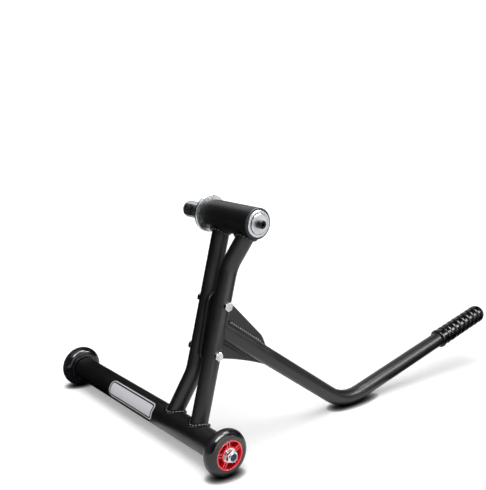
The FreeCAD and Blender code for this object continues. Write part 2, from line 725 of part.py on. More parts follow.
def upright(label, start, corner, end):
    """A bent tube between the base tube and the receiver, saddled onto both.

    The body's Z axis leans with the uprights' plane, from the base tube's axis at 0 to the
    receiver's axis at upright_span.
    """
    body = new_body(label)
    sweep_tube(body, "XZ_Plane", (start, corner, end), "upright_bend_radius",
               "upright_diameter", "upright_wall")
    saddles = new_sketch(body, "YZ_Plane")
    draw_circle(saddles, ("0", "0"), "base_tube_diameter / 2 + weld_gap")
    draw_circle(saddles, ("0", "upright_span"), "receiver_diameter / 2 + weld_gap")
    cut_through(body, saddles)
    holes = new_sketch(body, "YZ_Plane")
    for rise in ("lower_bolt_rise", "lower_bolt_rise + bolt_spacing"):
        draw_circle(holes, ("0", rise), "bolt_diameter / 2 + bolt_gap")
    cut_through(body, holes)
    place(body, ("0", *AXLE), X_AXIS, "-lean_angle")
    return body


def uprights():
    """Two bent tubes side by side: the left one kicks out at its top, the right one at its foot."""
    upright("left_upright", ("left_upright_x", "0"), ("left_upright_x", "left_bend"),
            ("left_top_x", "upright_span"))
    upright("right_upright", ("right_upright_x", "upright_span"),
            ("right_upright_x", "right_bend"), ("right_foot_x", "0"))


# ---------------------------------------------------------------------- receiver and lift pin

RECEIVER = ("receiver_x", "axle_y + receiver_offset", "receiver_height")


def receiver():
    """The tube on top of both uprights, with a bush in each end. Local X starts at its right end."""
    outside = "receiver_diameter / 2"
    turned("receiver_tube", [
        ("0", "receiver_bore"),
        ("receiver_length", "receiver_bore"),
        ("receiver_length", f"{outside} - receiver_edge"),
        ("receiver_length - receiver_edge", outside),
        ("receiver_edge", outside),
        ("0", f"{outside} - receiver_edge"),
    ], RECEIVER)
    bore = "journal_diameter / 2 + running_gap"
    bush = "receiver_bore - press_gap"
    turned("receiver_right_bush", ring(bore, bush, "-joint_gap", "bush_length"), RECEIVER)
    seat = "disc_diameter / 2 + disc_gap"
    turned("receiver_left_bush", [
        ("receiver_length - bush_length", bore),
        ("bush_face - disc_recess", bore),
        ("bush_face - disc_recess", seat),
        ("bush_face", seat),
        ("bush_face", f"{bush} - bush_edge"),
        ("bush_face - bush_edge", bush),
        ("receiver_length - bush_length", bush),
    ], RECEIVER)


def lift_pin():
    """The pin that enters the wheel's hollow axle, with the disc and screw that keep it in."""
    shoulder = "-2 * joint_gap"
    flange = "-2 * joint_gap - flange_thickness"
    tip = "-2 * joint_gap - flange_thickness - nose_length"
    hole = "pin_screw_diameter / 2 + thread_gap"
    turned("lift_pin", [
        (tip, "0"),
        ("pin_end - pin_screw_depth - 2", "0"),
        ("pin_end - pin_screw_depth - 2", hole),
        ("pin_end", hole),
        ("pin_end", "journal_diameter / 2"),
        (shoulder, "journal_diameter / 2"),
        (shoulder, "flange_diameter / 2 - 1"),
        (f"{shoulder} - 1", "flange_diameter / 2"),
        (f"{flange} + 1", "flange_diameter / 2"),
        (flange, "flange_diameter / 2 - 1"),
        (flange, "nose_diameter / 2"),
        (f"{tip} + nose_chamfer", "nose_diameter / 2"),
        (tip, "nose_diameter / 2 - nose_chamfer"),
    ], RECEIVER)

    turned("pin_retaining_disc", [
        ("pin_end", hole),
        ("disc_face", hole),
        ("disc_face", "disc_diameter / 2 - disc_edge"),
        ("disc_face - disc_edge", "disc_diameter / 2"),
        ("pin_end", "disc_diameter / 2"),
    ], RECEIVER)

    screw = new_body("pin_screw")
    head_top = "disc_face + pin_screw_head_height"
    revolve(screw, [
        ("pin_end - pin_screw_depth", "0"),
        (head_top, "0"),
        (head_top, "pin_screw_head / 2 - pin_screw_edge"),
        (f"{head_top} - pin_screw_edge", "pin_screw_head / 2"),
        ("disc_face", "pin_screw_head / 2"),
        ("disc_face", "pin_screw_diameter / 2"),
        ("pin_end - pin_screw_depth", "pin_screw_diameter / 2"),
    ])
    socket = new_sketch(screw, "YZ_Plane", head_top)
    draw_outline(socket, hexagon("pin_screw_socket"))
    before = screw.Shape.Volume
    pocket = screw.newObject("PartDesign::Pocket", "Socket")
    pocket.Profile = socket
    pocket.Length = value("pin_screw_head_height * 0.7")
    pocket.setExpression("Length", bound("pin_screw_head_height * 0.7"))
    doc.recompute()
    if not pocket.Shape.Volume < before:
        raise RuntimeError("pin_screw: the socket removed nothing")
    place(screw, RECEIVER)


# ----------------------------------------------------------------------------------- lever

def on_lever(run, drop):
    """A point beside the lever's front stretch: its run from the uprights and its drop below."""
    return (f"lever_head_y + {run} * cos(lever_front_angle) - {drop} * sin(lever_front_angle)",
            f"lever_head_z - {run} * sin(lever_front_angle) - {drop} * cos(lever_front_angle)")


def lever():
    """The bent lever tube, coped round the left upright, and the fishtail plate it is welded to."""
    tube = new_body("lever_tube")
    sweep_tube(tube, "YZ_Plane",
               (("lever_head_y", "lever_head_z"), ("corner_y", "corner_z"),
                ("lever_tail_y", "lever_tail_z")),
               "lever_bend_radius", "lever_diameter", "lever_wall")
    place(tube, ("left_upright_x", "axle_y", "0"))
    cope = doc.addObject("Part::Cylinder", "LeverCope")
    for side, text in (("Radius", "upright_diameter / 2 + joint_gap"),
                       ("Height", "upright_span")):
        setattr(cope, side, value(text))
        cope.setExpression(side, bound(text))
    place(cope, ("left_upright_x", *AXLE), X_AXIS, "-lean_angle")
    nodes.remove(tube)
    coped = doc.addObject("Part::Cut", "LeverTube")
    coped.Base = tube
    coped.Tool = cope
    tube.Label = "lever_tube_before_cope"
    finish(coped, "lever_tube")

    plate = new_body("lever_fishtail_plate")
    outline = new_sketch(plate, "YZ_Plane", "-plate_thickness / 2")
    lower_bolt = ("lower_bolt_y", "lower_bolt_z")
    upper_bolt = ("upper_bolt_y", "upper_bolt_z")
    draw_belt(outline, [
        (lower_bolt, "lower_bolt_margin", "plate_hollow"),
        (on_lever("tip_run", "tip_drop"), "tip_round", None),
        (on_lever("crown_run", "crown_drop"), "crown_round", None),
        (upper_bolt, "upper_bolt_margin", None),
    ])
    for hole in (lower_bolt, upper_bolt):
        draw_circle(outline, hole, "bolt_diameter / 2 + bolt_gap")
    blank = pad(plate, outline, "plate_thickness")
    hole_radius = value("bolt_diameter / 2 + bolt_gap")
    rims = [f"Edge{index}" for index, edge in enumerate(blank.Shape.Edges, start=1)
            if edge.BoundBox.XLength < 1e-6
            and not (isinstance(edge.Curve, Part.Circle)
                     and abs(edge.Curve.Radius - hole_radius) < 1e-6)]
    bevel = plate.newObject("PartDesign::Chamfer", "EdgeBevel")
    bevel.Base = (blank, rims)
    bevel.Size = value("plate_edge")
    bevel.setExpression("Size", bound("plate_edge"))
    doc.recompute()
    place(plate, ("plate_x", "axle_y", "0"))


def lever_fasteners():
    """Two bolts through both uprights and the plate between them, and their nuts.

    Local X is the lower bolt's axis, and local Z leans with the uprights.
    """
    base = ("0", "axle_y + lower_bolt_y", "lower_bolt_z")
    head_seat = "left_upright_x + upright_diameter / 2"
    head_face = f"{head_seat} + bolt_head_height"
    nut_seat = "right_upright_x - upright_diameter / 2"
    nut_face = f"{nut_seat} - bolt_nut_height"
    tip = f"{nut_face} - bolt_end"
    shank = "bolt_diameter / 2"

    bolts = new_body("lever_bolts")
    flats = new_sketch(bolts, "YZ_Plane", head_seat)
    draw_outline(flats, hexagon("bolt_head_flats"))
    features = [pad(bolts, flats, "bolt_head_height")]
    features.append(bevel_corners(bolts, "bolt_head_flats", head_face, "1"))
    features.append(revolve(bolts, [
        (tip, "0"),
        (head_seat, "0"),
        (head_seat, shank),
        (f"{tip} + bolt_tip", shank),
        (tip, f"{shank} - bolt_tip"),
    ]))
    repeat_along(bolts, features, "Z_Axis", "bolt_spacing", "2")
    place(bolts, base, X_AXIS, "-lean_angle")

    nuts = new_body("lever_nuts")
    flats = new_sketch(nuts, "YZ_Plane", nut_face)
    draw_outline(flats, hexagon("bolt_head_flats"))
    draw_circle(flats, ("0", "0"), f"{shank} + thread_gap")
    features = [pad(nuts, flats, "bolt_nut_height")]
    features.append(bevel_corners(nuts, "bolt_head_flats", nut_face, "-1"))
    features.append(bevel_corners(nuts, "bolt_head_flats", nut_seat, "1"))
    repeat_along(nuts, features, "Z_Axis", "bolt_spacing", "2")
    place(nuts, base, X_AXIS, "-lean_angle")


def domed_rib(body, start, width, neck, crest):
    """A rib round the body's Y axis whose outside is an arc from the neck to its crest and back."""
    rise = f"({crest} - {neck})"
    dome = f"(({width})^2 / 4 + {rise}^2) / (2 * {rise})"
    stop = f"{start} + {width}"
    root = f"{neck} - {rise}"
    sketch = new_sketch(body, "XY_Plane")
    corners = [(neck, start), (root, start), (root, stop), (neck, stop)]
    points = [Vector(value(a), value(b), 0) for a, b in corners]
    for near, far in zip(points, points[1:]):
        sketch.addGeometry(Part.LineSegment(near, far), False)
    crown = Vector(value(crest), value(f"{start} + {width} / 2"), 0)
    arc = sketch.addGeometry(Part.Arc(points[0], crown, points[-1]), False)
    for line, point in enumerate(corners[:-1]):
        pin_down(sketch, line, 1, point)
    pin_down(sketch, 2, 2, corners[-1])
    sketch.addConstraint(Sketcher.Constraint("Coincident", 0, 2, 1, 1))
    sketch.addConstraint(Sketcher.Constraint("Coincident", 1, 2, 2, 1))
    sketch.addConstraint(Sketcher.Constraint("Coincident", 0, 1, arc, 1))
    sketch.addConstraint(Sketcher.Constraint("Coincident", 2, 2, arc, 2))
    hold_radius(sketch, arc, dome)
    feature = body.newObject("PartDesign::Revolution", "Rib")
    feature.Profile = sketch
    feature.ReferenceAxis = (sketch, ["V_Axis"])
    feature.Angle = 360
    doc.recompute()
    return feature


def lever_grip():
    """The ribbed rubber grip. Local Y runs along the lever's rear stretch from the bend's corner."""
    grip = new_body("lever_grip")
    bore = "lever_radius + press_gap"
    neck = "grip_diameter / 2"
    collar_end = "grip_start + grip_collar_width"
    ring_start = "first_rib - grip_ring_gap - grip_ring_width"
    ring_end = "first_rib - grip_ring_gap"
    rib = "grip_rib_diameter / 2"
    sleeve = revolve(grip, [
        ("grip_start", bore),
        ("grip_start", "grip_collar_diameter / 2"),
        (collar_end, "grip_collar_diameter / 2"),
        (f"{collar_end} + 1.5", neck),
        (f"{ring_start} - 1", neck),
        (ring_start, rib),
        (ring_end, rib),
        (f"{ring_end} + 1", neck),
        ("lever_reach", neck),
        ("lever_reach", "0"),
        ("lever_tube_run", "0"),
        ("lever_tube_run", bore),
    ], "Y")
    end_edge = [f"Edge{index}" for index, edge in enumerate(sleeve.Shape.Edges, start=1)
                if isinstance(edge.Curve, Part.Circle)
                and abs(edge.Curve.Center.y - value("lever_reach")) < 1e-6]
    rounding = grip.newObject("PartDesign::Fillet", "EndRound")
    rounding.Base = (sleeve, end_edge)
    rounding.Radius = value("grip_round")
    rounding.setExpression("Radius", bound("grip_round"))
    doc.recompute()
    rib_feature = domed_rib(grip, "first_rib", "grip_rib_pitch", neck, rib)
    repeat_along(grip, [rib_feature], "Y_Axis", "grip_rib_pitch * (grip_rib_count - 1)",
                 "grip_rib_count")
    place(grip, ("left_upright_x", "axle_y + corner_y", "corner_z"), X_AXIS, "lever_rear_angle")


# ---------------------------------------------------------------------------------- export

def check_all():
    """Stop if anything in the document failed or any piece has no sound solid."""
    doc.recompute()
    for thing in doc.Objects:
        if "Invalid" in thing.State or "Error" in thing.State:
            raise RuntimeError(f"{thing.Label} failed: {thing.State}")
    for node in nodes:
        shape = node.Shape
        if shape.isNull() or not shape.isValid() or not shape.Solids:
            raise RuntimeError(f"{node.Label} has no sound solid")


def export_all():
    """Write one file per piece."""
    os.makedirs("parts", exist_ok=True)
    for node in nodes:
        node.Shape.exportStep(os.path.join("parts", node.Label + ".step"))


base_tube()
uprights()
receiver()
lift_pin()
lever()
lever_fasteners()
lever_grip()
wheel_side("left", "1", "0")
wheel_side("right", "-1", "180")
check_all()
export_all()
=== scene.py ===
import logging
import math
from dataclasses import dataclass
from enum import Enum
from functools import cache

import bmesh
import bpy
import numpy as np
from mathutils import Matrix, Vector


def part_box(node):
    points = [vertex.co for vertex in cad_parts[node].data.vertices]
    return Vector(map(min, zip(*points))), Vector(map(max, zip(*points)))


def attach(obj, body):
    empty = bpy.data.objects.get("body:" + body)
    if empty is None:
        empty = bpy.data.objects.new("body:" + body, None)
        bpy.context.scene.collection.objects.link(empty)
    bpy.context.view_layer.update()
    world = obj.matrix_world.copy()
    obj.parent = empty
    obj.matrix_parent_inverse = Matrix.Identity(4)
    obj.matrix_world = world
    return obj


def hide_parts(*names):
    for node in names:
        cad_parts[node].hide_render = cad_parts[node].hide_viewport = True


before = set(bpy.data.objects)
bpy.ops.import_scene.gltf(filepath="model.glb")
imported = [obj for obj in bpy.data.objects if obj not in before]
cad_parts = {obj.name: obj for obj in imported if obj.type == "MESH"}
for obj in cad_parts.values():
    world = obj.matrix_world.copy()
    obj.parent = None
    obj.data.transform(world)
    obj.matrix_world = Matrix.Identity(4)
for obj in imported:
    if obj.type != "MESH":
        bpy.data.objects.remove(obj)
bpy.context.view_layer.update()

# Looks of a rear paddock stand. Sizes in the classes below are in millimetres, in the part's own
# frame: +X runs along the base tube to the lever's side, +Y along the lever, +Z up, floor at 0.
# Meshes are written in metres.

LOG = logging.getLogger("paddock_stand")
MM = 0.001
SAME_POINT = 0.001      # mm: a CAD node's points this close are one
SAME_PLACE = 1e-7       # m: a seam's or pole's points this close are one
NO_AREA = 1e-8          # m: faces narrower than this are dropped
FLOOR_WHITE = "#FBFBFB"
Socket = bpy.types.NodeSocket
Seam = tuple[np.ndarray, np.ndarray, np.ndarray]  # points, and the outward way of both surfaces


class Slot(Enum):
    """The record's material slots."""
    POWDER_COAT = "black_powder_coat"
    ZINC = "zinc_plated_steel"
    TURNED = "turned_steel"
    BEARING = "bearing_steel"
    OXIDE = "black_oxide_steel"
    RED = "red_plastic"
    TYRE = "black_polyurethane"
    RUBBER = "black_rubber"
    NYLON = "blue_nylon"


class Body(Enum):
    """The bodies that new pieces ride on."""
    STAND = "stand"
    LEFT_WHEEL = "left_wheel"
    RIGHT_WHEEL = "right_wheel"


# ---------------- node helpers

def linear(colour: str) -> tuple[float, float, float, float]:
    """Turn an sRGB hex colour into the linear one that a shader takes.

    Args:
        colour: such as "#1A2B3C".

    Returns:
        Red, green and blue as linear light, and an alpha of 1.
    """
    channels = np.array([int(colour[start:start + 2], 16) for start in (1, 3, 5)]) / 255
    curved = ((channels + 0.055) / 1.055) ** 2.4
    red, green, blue = np.where(channels <= 0.04045, channels / 12.92, curved).tolist()
    return red, green, blue, 1.0


def add_node(tree: bpy.types.NodeTree, kind: str, settings: dict) -> bpy.types.Node:
    """Add one node with its settings and links.

    Args:
        tree: the node tree it goes into.
        kind: the shader node's type, such as "Math".
        settings: what a property or input gets, by its name or the input's number: a plain value,
            an sRGB hex colour, or the output socket of another node to link to it.

    Returns:
        The new node.
    """
    node = tree.nodes.new("ShaderNode" + kind)
    for name, value in settings.items():
        if isinstance(value, Socket):
            tree.links.new(value, node.inputs[name])
        elif isinstance(name, int) or name in node.inputs:
            node.inputs[name].default_value = linear(value) if isinstance(value, str) else value
        else:
            setattr(node, name, value)
    return node


def bare_tree(block: bpy.types.Material | bpy.types.World) -> bpy.types.NodeTree:
    """Empty the node tree of a material or a world.

    Args:
        block: the material or world.

    Returns:
        Its node tree.
    """
    block.use_nodes = True
    block.node_tree.nodes.clear()
    return block.node_tree


def reach_from(tree: bpy.types.NodeTree, place: Socket, axis: tuple[float, float]) -> Socket:
    """Work out how far each point is from a line along X: the length of (0, y, z) from it.

    Args:
        tree: the material's node tree.
        place: the points' Object coordinates.
        axis: the line's Y and Z, mm.

    Returns:
        The distance in metres.
    """
    centred = add_node(tree, "Mapping", {"Location": (0.0, -axis[0] * MM, -axis[1] * MM),
                                         "Scale": (0.0, 1.0, 1.0), "Vector": place})
    return add_node(tree, "VectorMath", {"operation": "LENGTH",
                                         0: centred.outputs["Vector"]}).outputs["Value"]


# ---------------- finishes

@dataclass(frozen=True)
class Finish:
    """A finish: the plain numbers of its shader, and the pattern that a subclass adds."""
    name: str
    slot: Slot
    colour: str
    roughness: float
    metallic: float = 0.0
    ior: float = 1.5
    coat: float = 0.0
    coat_roughness: float = 0.1
    uneven: tuple[float, float] = (0.05, 0.05)

    @cache
    def material(self) -> bpy.types.Material:
        """Build the material with all of its nodes, at its first use.

        Returns:
            The material.
        """
        material = bpy.data.materials.new(self.name)
        tree = bare_tree(material)
        shader = add_node(tree, "BsdfPrincipled", {
            "Base Color": self.colour, "Roughness": self.roughness, "Metallic": self.metallic,
            "IOR": self.ior, "Coat Weight": self.coat, "Coat Roughness": self.coat_roughness})
        add_node(tree, "OutputMaterial", {"Surface": shader.outputs["BSDF"]})
        place = add_node(tree, "TexCoord", {}).outputs["Object"]
        for name, source in self.pattern(tree, place).items():
            tree.links.new(source, shader.inputs[name])
        return material

    def pattern(self, tree: bpy.types.NodeTree, place: Socket) -> dict[str, Socket]:
        """Add what varies over the surface. The plain finish has nothing.

        Args:
            tree: the material's node tree.
            place: the Object coordinates.

        Returns:
            What feeds the shader, by the input's name.
        """
        return {}

    def gloss(self, tree: bpy.types.NodeTree, clouds: bpy.types.Node,
              band: tuple[float, float] = (0.3, 0.7)) -> Socket:
        """Let the roughness fall and rise by the two `uneven` shares as clouds go.

        Args:
            tree: the material's node tree.
            clouds: the noise.
            band: where in the noise the roughness starts and stops to rise.

        Returns:
            The roughness.
        """
        return add_node(tree, "MapRange", {
            "From Min": band[0], "From Max": band[1], "To Min": self.roughness - self.uneven[0],
            "To Max": self.roughness + self.uneven[1],
            "Value": clouds.outputs["Fac"]}).outputs["Result"]


@dataclass(frozen=True)
class PowderCoat(Finish):
    """Polyester powder sprayed on steel tube and baked.

    It flows into a closed satin film with a soft orange-peel ripple, a little glossier where the
    coat is thick, with fine pale dust in the satin.
    """
    peel: float = 2.2
    peel_height: float = 0.03
    cloud: float = 34.0
    speck: float = 1.1
    dust: str = "#222224"
    dust_share: float = 0.45

    def pattern(self, tree: bpy.types.NodeTree, place: Socket) -> dict[str, Socket]:
        """Add ripple of `peel` mm, clouds of `cloud` mm in the gloss, and specks of dust.

        Args:
            tree: the material's node tree.
            place: the Object coordinates.

        Returns:
            What feeds the shader, by the input's name.
        """
        peel = add_node(tree, "TexNoise", {
            "Scale": 1 / (self.peel * MM), "Detail": 1.5, "Roughness": 0.45, "Vector": place})
        ripple = add_node(tree, "Bump", {
            "Strength": 0.5, "Distance": self.peel_height * MM, "Height": peel.outputs["Fac"]})
        clouds = add_node(tree, "TexNoise", {
            "Scale": 1 / (self.cloud * MM), "Detail": 4.0, "Roughness": 0.6, "Vector": place})
        grains = add_node(tree, "TexNoise", {
            "Scale": 1 / (self.speck * MM), "Detail": 3.0, "Roughness": 0.7, "Vector": place})
        specks = add_node(tree, "MapRange", {
            "From Min": 0.6, "From Max": 0.8, "To Max": self.dust_share,
            "Value": grains.outputs["Fac"]})
        colour = add_node(tree, "Mix", {
            "data_type": "RGBA", 0: specks.outputs["Result"], 6: self.colour, 7: self.dust})
        return {"Base Color": colour.outputs[2], "Roughness": self.gloss(tree, clouds),
                "Normal": ripple.outputs["Normal"]}


@dataclass(frozen=True)
class PlatedSteel(Finish):
    """Cold-forged steel with barrel zinc plating.

    It is bright and slightly bluish, clouded where the plating is thicker, with fine tumbling
    marks that run in every direction.
    """
    tint: str = "#B4BBC6"
    cloud: float = 5.0
    mark: float = 0.7
    mark_depth: float = 0.02
    uneven: tuple[float, float] = (0.06, 0.08)

    def pattern(self, tree: bpy.types.NodeTree, place: Socket) -> dict[str, Socket]:
        """Add clouds of `cloud` mm in tint and gloss, and marks of `mark` mm as bump.

        Args:
            tree: the material's node tree.
            place: the Object coordinates.

        Returns:
            What feeds the shader, by the input's name.
        """
        clouds = add_node(tree, "TexNoise", {
            "Scale": 1 / (self.cloud * MM), "Detail": 3.0, "Roughness": 0.55, "Vector": place})
        share = add_node(tree, "MapRange", {
            "From Min": 0.35, "From Max": 0.65, "Value": clouds.outputs["Fac"]})
        colour = add_node(tree, "Mix", {
            "data_type": "RGBA", 0: share.outputs["Result"], 6: self.colour, 7: self.tint})
        marks = add_node(tree, "TexNoise", {
            "Scale": 1 / (self.mark * MM), "Detail": 4.0, "Roughness": 0.65, "Distortion": 1.2,
            "Vector": place})
        bump = add_node(tree, "Bump", {
            "Strength": 0.35, "Distance": self.mark_depth * MM, "Height": marks.outputs["Fac"]})
        return {"Base Color": colour.outputs[2], "Roughness": self.gloss(tree, clouds, (0.0, 1.0)),
                "Normal": bump.outputs["Normal"]}


@dataclass(frozen=True)
class TurnedSteel(Finish):
    """Steel faced and turned on a lathe, then left bright or thinly zinc plated.

    The tool leaves fine rings round the axis, which catch the light as a fan of bright streaks.
    """
    axis: tuple[float, float] = (0.0, 0.0)
    feed: float = 0.8
    groove: float = 0.02
    stain: float = 7.0
    uneven: tuple[float, float] = (0.05, 0.08)

    def pattern(self, tree: bpy.types.NodeTree, place: Socket) -> dict[str, Socket]:
        """Add rings round the X line through `axis`, one every `feed` mm, and stains in the gloss.

        A ring wave turns over once where twenty times the scaled radius grows by a full turn, so
        its scale is 2 pi / 20 divided by the feed in metres. The real feed is about 0.15 mm,
        which is too fine to show, so it is drawn coarser.

        Args:
            tree: the material's node tree.
            place: the Object coordinates.

        Returns:
            What feeds the shader, by the input's name.
        """
        centred = add_node(tree, "Mapping", {
            "Location": (0.0, -self.axis[0] * MM, -self.axis[1] * MM), "Vector": place})
        rings = add_node(tree, "TexWave", {
            "wave_type": "RINGS", "rings_direction": "X",
            "Scale": 2 * math.pi / 20 / (self.feed * MM), "Distortion": 0.6, "Detail": 2.0,
            "Detail Scale": 1.5, "Vector": centred.outputs["Vector"]})
        bump = add_node(tree, "Bump", {
            "Strength": 0.6, "Distance": self.groove * MM, "Height": rings.outputs["Fac"]})
        stains = add_node(tree, "TexNoise", {
            "Scale": 1 / (self.stain * MM), "Detail": 3.0, "Roughness": 0.6, "Vector": place})
        return {"Roughness": self.gloss(tree, stains), "Normal": bump.outputs["Normal"]}


@dataclass(frozen=True)
class Moulding(Finish):
    """Pigmented plastic or rubber from a steel mould.

    The mould's spark-eroded grain shows as a fine even bump, and the flow of the melt as soft
    clouds in tone and gloss.
    """
    grain: float = 0.6
    grain_height: float = 0.02
    flow: str = "#000000"
    flow_share: float = 0.3
    flow_size: float = 9.0
    uneven: tuple[float, float] = (0.04, 0.06)

    def pattern(self, tree: bpy.types.NodeTree, place: Socket) -> dict[str, Socket]:
        """Add grain of `grain` mm as bump, and clouds of `flow_size` mm towards the flow colour.

        Args:
            tree: the material's node tree.
            place: the Object coordinates.

        Returns:
            What feeds the shader, by the input's name.
        """
        grain = add_node(tree, "TexNoise", {
            "Scale": 1 / (self.grain * MM), "Detail": 2.0, "Roughness": 0.5, "Vector": place})
        bump = add_node(tree, "Bump", {
            "Strength": 0.5, "Distance": self.grain_height * MM, "Height": grain.outputs["Fac"]})
        clouds = add_node(tree, "TexNoise", {
            "Scale": 1 / (self.flow_size * MM), "Detail": 3.0, "Roughness": 0.6, "Vector": place})
        share = add_node(tree, "MapRange", {
            "From Min": 0.35, "From Max": 0.7, "To Max": self.flow_share,
            "Value": clouds.outputs["Fac"]})
        colour = add_node(tree, "Mix", {
            "data_type": "RGBA", 0: share.outputs["Result"], 6: self.colour, 7: self.flow})
        return {"Base Color": colour.outputs[2], "Roughness": self.gloss(tree, clouds),
                "Normal": bump.outputs["Normal"]}


@dataclass(frozen=True)
class SpokedHub(Moulding):
    """A moulded hub: polished rim and ribs, deep matt pockets, and a black inboard side.

    The mould is polished where it is easy to reach. The pockets between the ribs are left matt,
    and their red is darkened towards the bottom as painted shade, where little light gets in. The
    black on the inboard side is painted shade as well.
    """
    axis: tuple[float, float] = (0.0, 0.0)
    # painted shade: the dark red that the pockets sink to towards their bottom
    pocket_shade: str = "#A80512"
    pocket_roughness: float = 0.4
    face: float = 0.0
    pocket_start: float = 0.8
    pocket_depth: float = 7.0
    # painted shade: black on the inboard side of the rim, beyond a reach from the axle and near the
    # stand's middle
    inboard_shade: str = "#101015"
    inboard_shade_start: float = 11.0
    inboard_shade_depth: float = 0.0

    def pattern(self, tree: bpy.types.NodeTree, place: Socket) -> dict[str, Socket]:
        """Make the pockets crimson and matt, and the inboard side black.

        The outboard face is `face` mm from the stand's middle. The pockets' share rises from none
        at `pocket_start` mm under that face to one at `pocket_depth` mm. The black lies less than
        `inboard_shade_depth` mm from the stand's middle, and more than `inboard_shade_start` mm from the axle.

        Args:
            tree: the material's node tree.
            place: the Object coordinates.

        Returns:
            What feeds the shader, by the input's name.
        """
        moulded = super().pattern(tree, place)
        across = add_node(tree, "SeparateXYZ", {0: place}).outputs["X"]
        side = add_node(tree, "Math", {"operation": "ABSOLUTE", 0: across}).outputs[0]
        # share of polish and of light: none deep in a pocket, one near the outboard face
        polish_and_light = add_node(tree, "MapRange", {
            "From Min": (self.face - self.pocket_depth) * MM,
            "From Max": (self.face - self.pocket_start) * MM, "Value": side}).outputs["Result"]
        # painted shade: the pockets' red darkens towards their bottom, and the same share makes
        # them matt
        crimson = add_node(tree, "Mix", {
            "data_type": "RGBA", 0: polish_and_light, 6: self.pocket_shade, 7: moulded["Base Color"]})
        gloss = add_node(tree, "Mix", {
            "data_type": "FLOAT", 0: polish_and_light, 2: self.pocket_roughness, 3: moulded["Roughness"]})
        # painted shade: the inboard side of the rim is coloured black
        rim = add_node(tree, "Math", {"operation": "GREATER_THAN", 1: self.inboard_shade_start * MM,
                                      0: reach_from(tree, place, self.axis)})
        inboard = add_node(tree, "Math", {"operation": "LESS_THAN", 0: side,
                                          1: self.inboard_shade_depth * MM})
        share = add_node(tree, "Math", {"operation": "MULTIPLY", 0: rim.outputs[0],
                                        1: inboard.outputs[0]})
        colour = add_node(tree, "Mix", {
            "data_type": "RGBA", 0: share.outputs[0], 6: crimson.outputs[2], 7: self.inboard_shade})
        return moulded | {"Base Color": colour.outputs[2], "Roughness": gloss.outputs[0],
                          "Coat Weight": polish_and_light}


@dataclass(frozen=True)
class RolledTyre(Moulding):
    """Polyurethane cast round the hub, glossy on its sides and dulled by the floor on its tread."""
    axis: tuple[float, float] = (0.0, 0.0)
    tread_start: float = 35.6
    tread_full: float = 37.3
    tread_roughness: float = 0.36
    scuff: str = "#323235"
    scuff_size: float = 2.5

    def pattern(self, tree: bpy.types.NodeTree, place: Socket) -> dict[str, Socket]:
        """Make the tyre duller and greyer with the distance from the axle, in scuffs.

        Args:
            tree: the material's node tree.
            place: the Object coordinates.

        Returns:
            What feeds the shader, by the input's name.
        """
        cast = super().pattern(tree, place)
        tread = add_node(tree, "MapRange", {
            "interpolation_type": "SMOOTHSTEP", "From Min": self.tread_start * MM,
            "From Max": self.tread_full * MM,
            "Value": reach_from(tree, place, self.axis)}).outputs["Result"]
        worn = add_node(tree, "TexNoise", {
            "Scale": 1 / (self.scuff_size * MM), "Detail": 5.0, "Roughness": 0.7, "Vector": place})
        scuffs = add_node(tree, "MapRange", {
            "From Min": 0.45, "From Max": 0.75, "Value": worn.outputs["Fac"]})
        share = add_node(tree, "Math", {
            "operation": "MULTIPLY", 0: tread, 1: scuffs.outputs["Result"]})
        colour = add_node(tree, "Mix", {
            "data_type": "RGBA", 0: share.outputs[0], 6: cast["Base Color"], 7: self.scuff})
        gloss = add_node(tree, "Mix", {
            "data_type": "FLOAT", 0: tread, 2: cast["Roughness"], 3: self.tread_roughness})
        return cast | {"Base Color": colour.outputs[2], "Roughness": gloss.outputs[0]}


@dataclass(frozen=True)
class PrintedFoil(Finish):
    """Silver-grey polyester foil with a clear overlay: an even satin with a faint metal grain."""
    grain: float = 1.2
    flake: str = "#FFFFFF"
    flake_share: float = 0.25

    def pattern(self, tree: bpy.types.NodeTree, place: Socket) -> dict[str, Socket]:
        """Add metal flakes of `grain` mm in tone and gloss.

        Args:
            tree: the material's node tree.
            place: the Object coordinates.

        Returns:
            What feeds the shader, by the input's name.
        """
        flakes = add_node(tree, "TexNoise", {
            "Scale": 1 / (self.grain * MM), "Detail": 3.0, "Roughness": 0.7, "Vector": place})
        share = add_node(tree, "MapRange", {
            "From Min": 0.35, "From Max": 0.65, "To Max": self.flake_share,
            "Value": flakes.outputs["Fac"]})
        colour = add_node(tree, "Mix", {
            "data_type": "RGBA", 0: share.outputs["Result"], 6: self.colour, 7: self.flake})
        return {"Base Color": colour.outputs[2], "Roughness": self.gloss(tree, flakes, (0.0, 1.0))}


# The wheels' and the lift pin's axes as Y and Z, and the left tyre's inboard and outboard sides
# from the stand's middle, mm.
AXLE = (-347.258, 37.5)
LIFT = (-264.658, 373.0)
TYRE_INBOARD, TYRE_OUTBOARD = (corner[0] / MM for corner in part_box("left_wheel_tyre"))

BLACK_COAT = PowderCoat("polyester_powder_coat_satin_black", Slot.POWDER_COAT, "#0A0A0B", 0.39)
WELD_COAT = PowderCoat("polyester_powder_coat_pooled_on_weld_black", Slot.POWDER_COAT, "#0A0A0B",
                       0.2)
ZINC = PlatedSteel("zinc_plated_forged_steel", Slot.ZINC, "#E6E7E8", 0.22, metallic=1.0,
                   tint="#CFD2D7")
PIN_STEEL = TurnedSteel("turned_zinc_plated_steel_lift_pin", Slot.TURNED, "#D3D6D9", 0.28,
                        metallic=1.0, axis=LIFT)
PLUG_STEEL = TurnedSteel("turned_zinc_plated_steel_axle", Slot.TURNED, "#C3C6C9", 0.32,
                         metallic=1.0, axis=AXLE)
STUD_STEEL = TurnedSteel("black_phosphated_stud_steel", Slot.TURNED, "#3B3D44", 0.3,
                         metallic=1.0, axis=AXLE)
RING_STEEL = TurnedSteel("ground_bearing_steel", Slot.BEARING, "#CFD0D2", 0.2, metallic=1.0,
                         axis=AXLE, feed=0.5, groove=0.008)
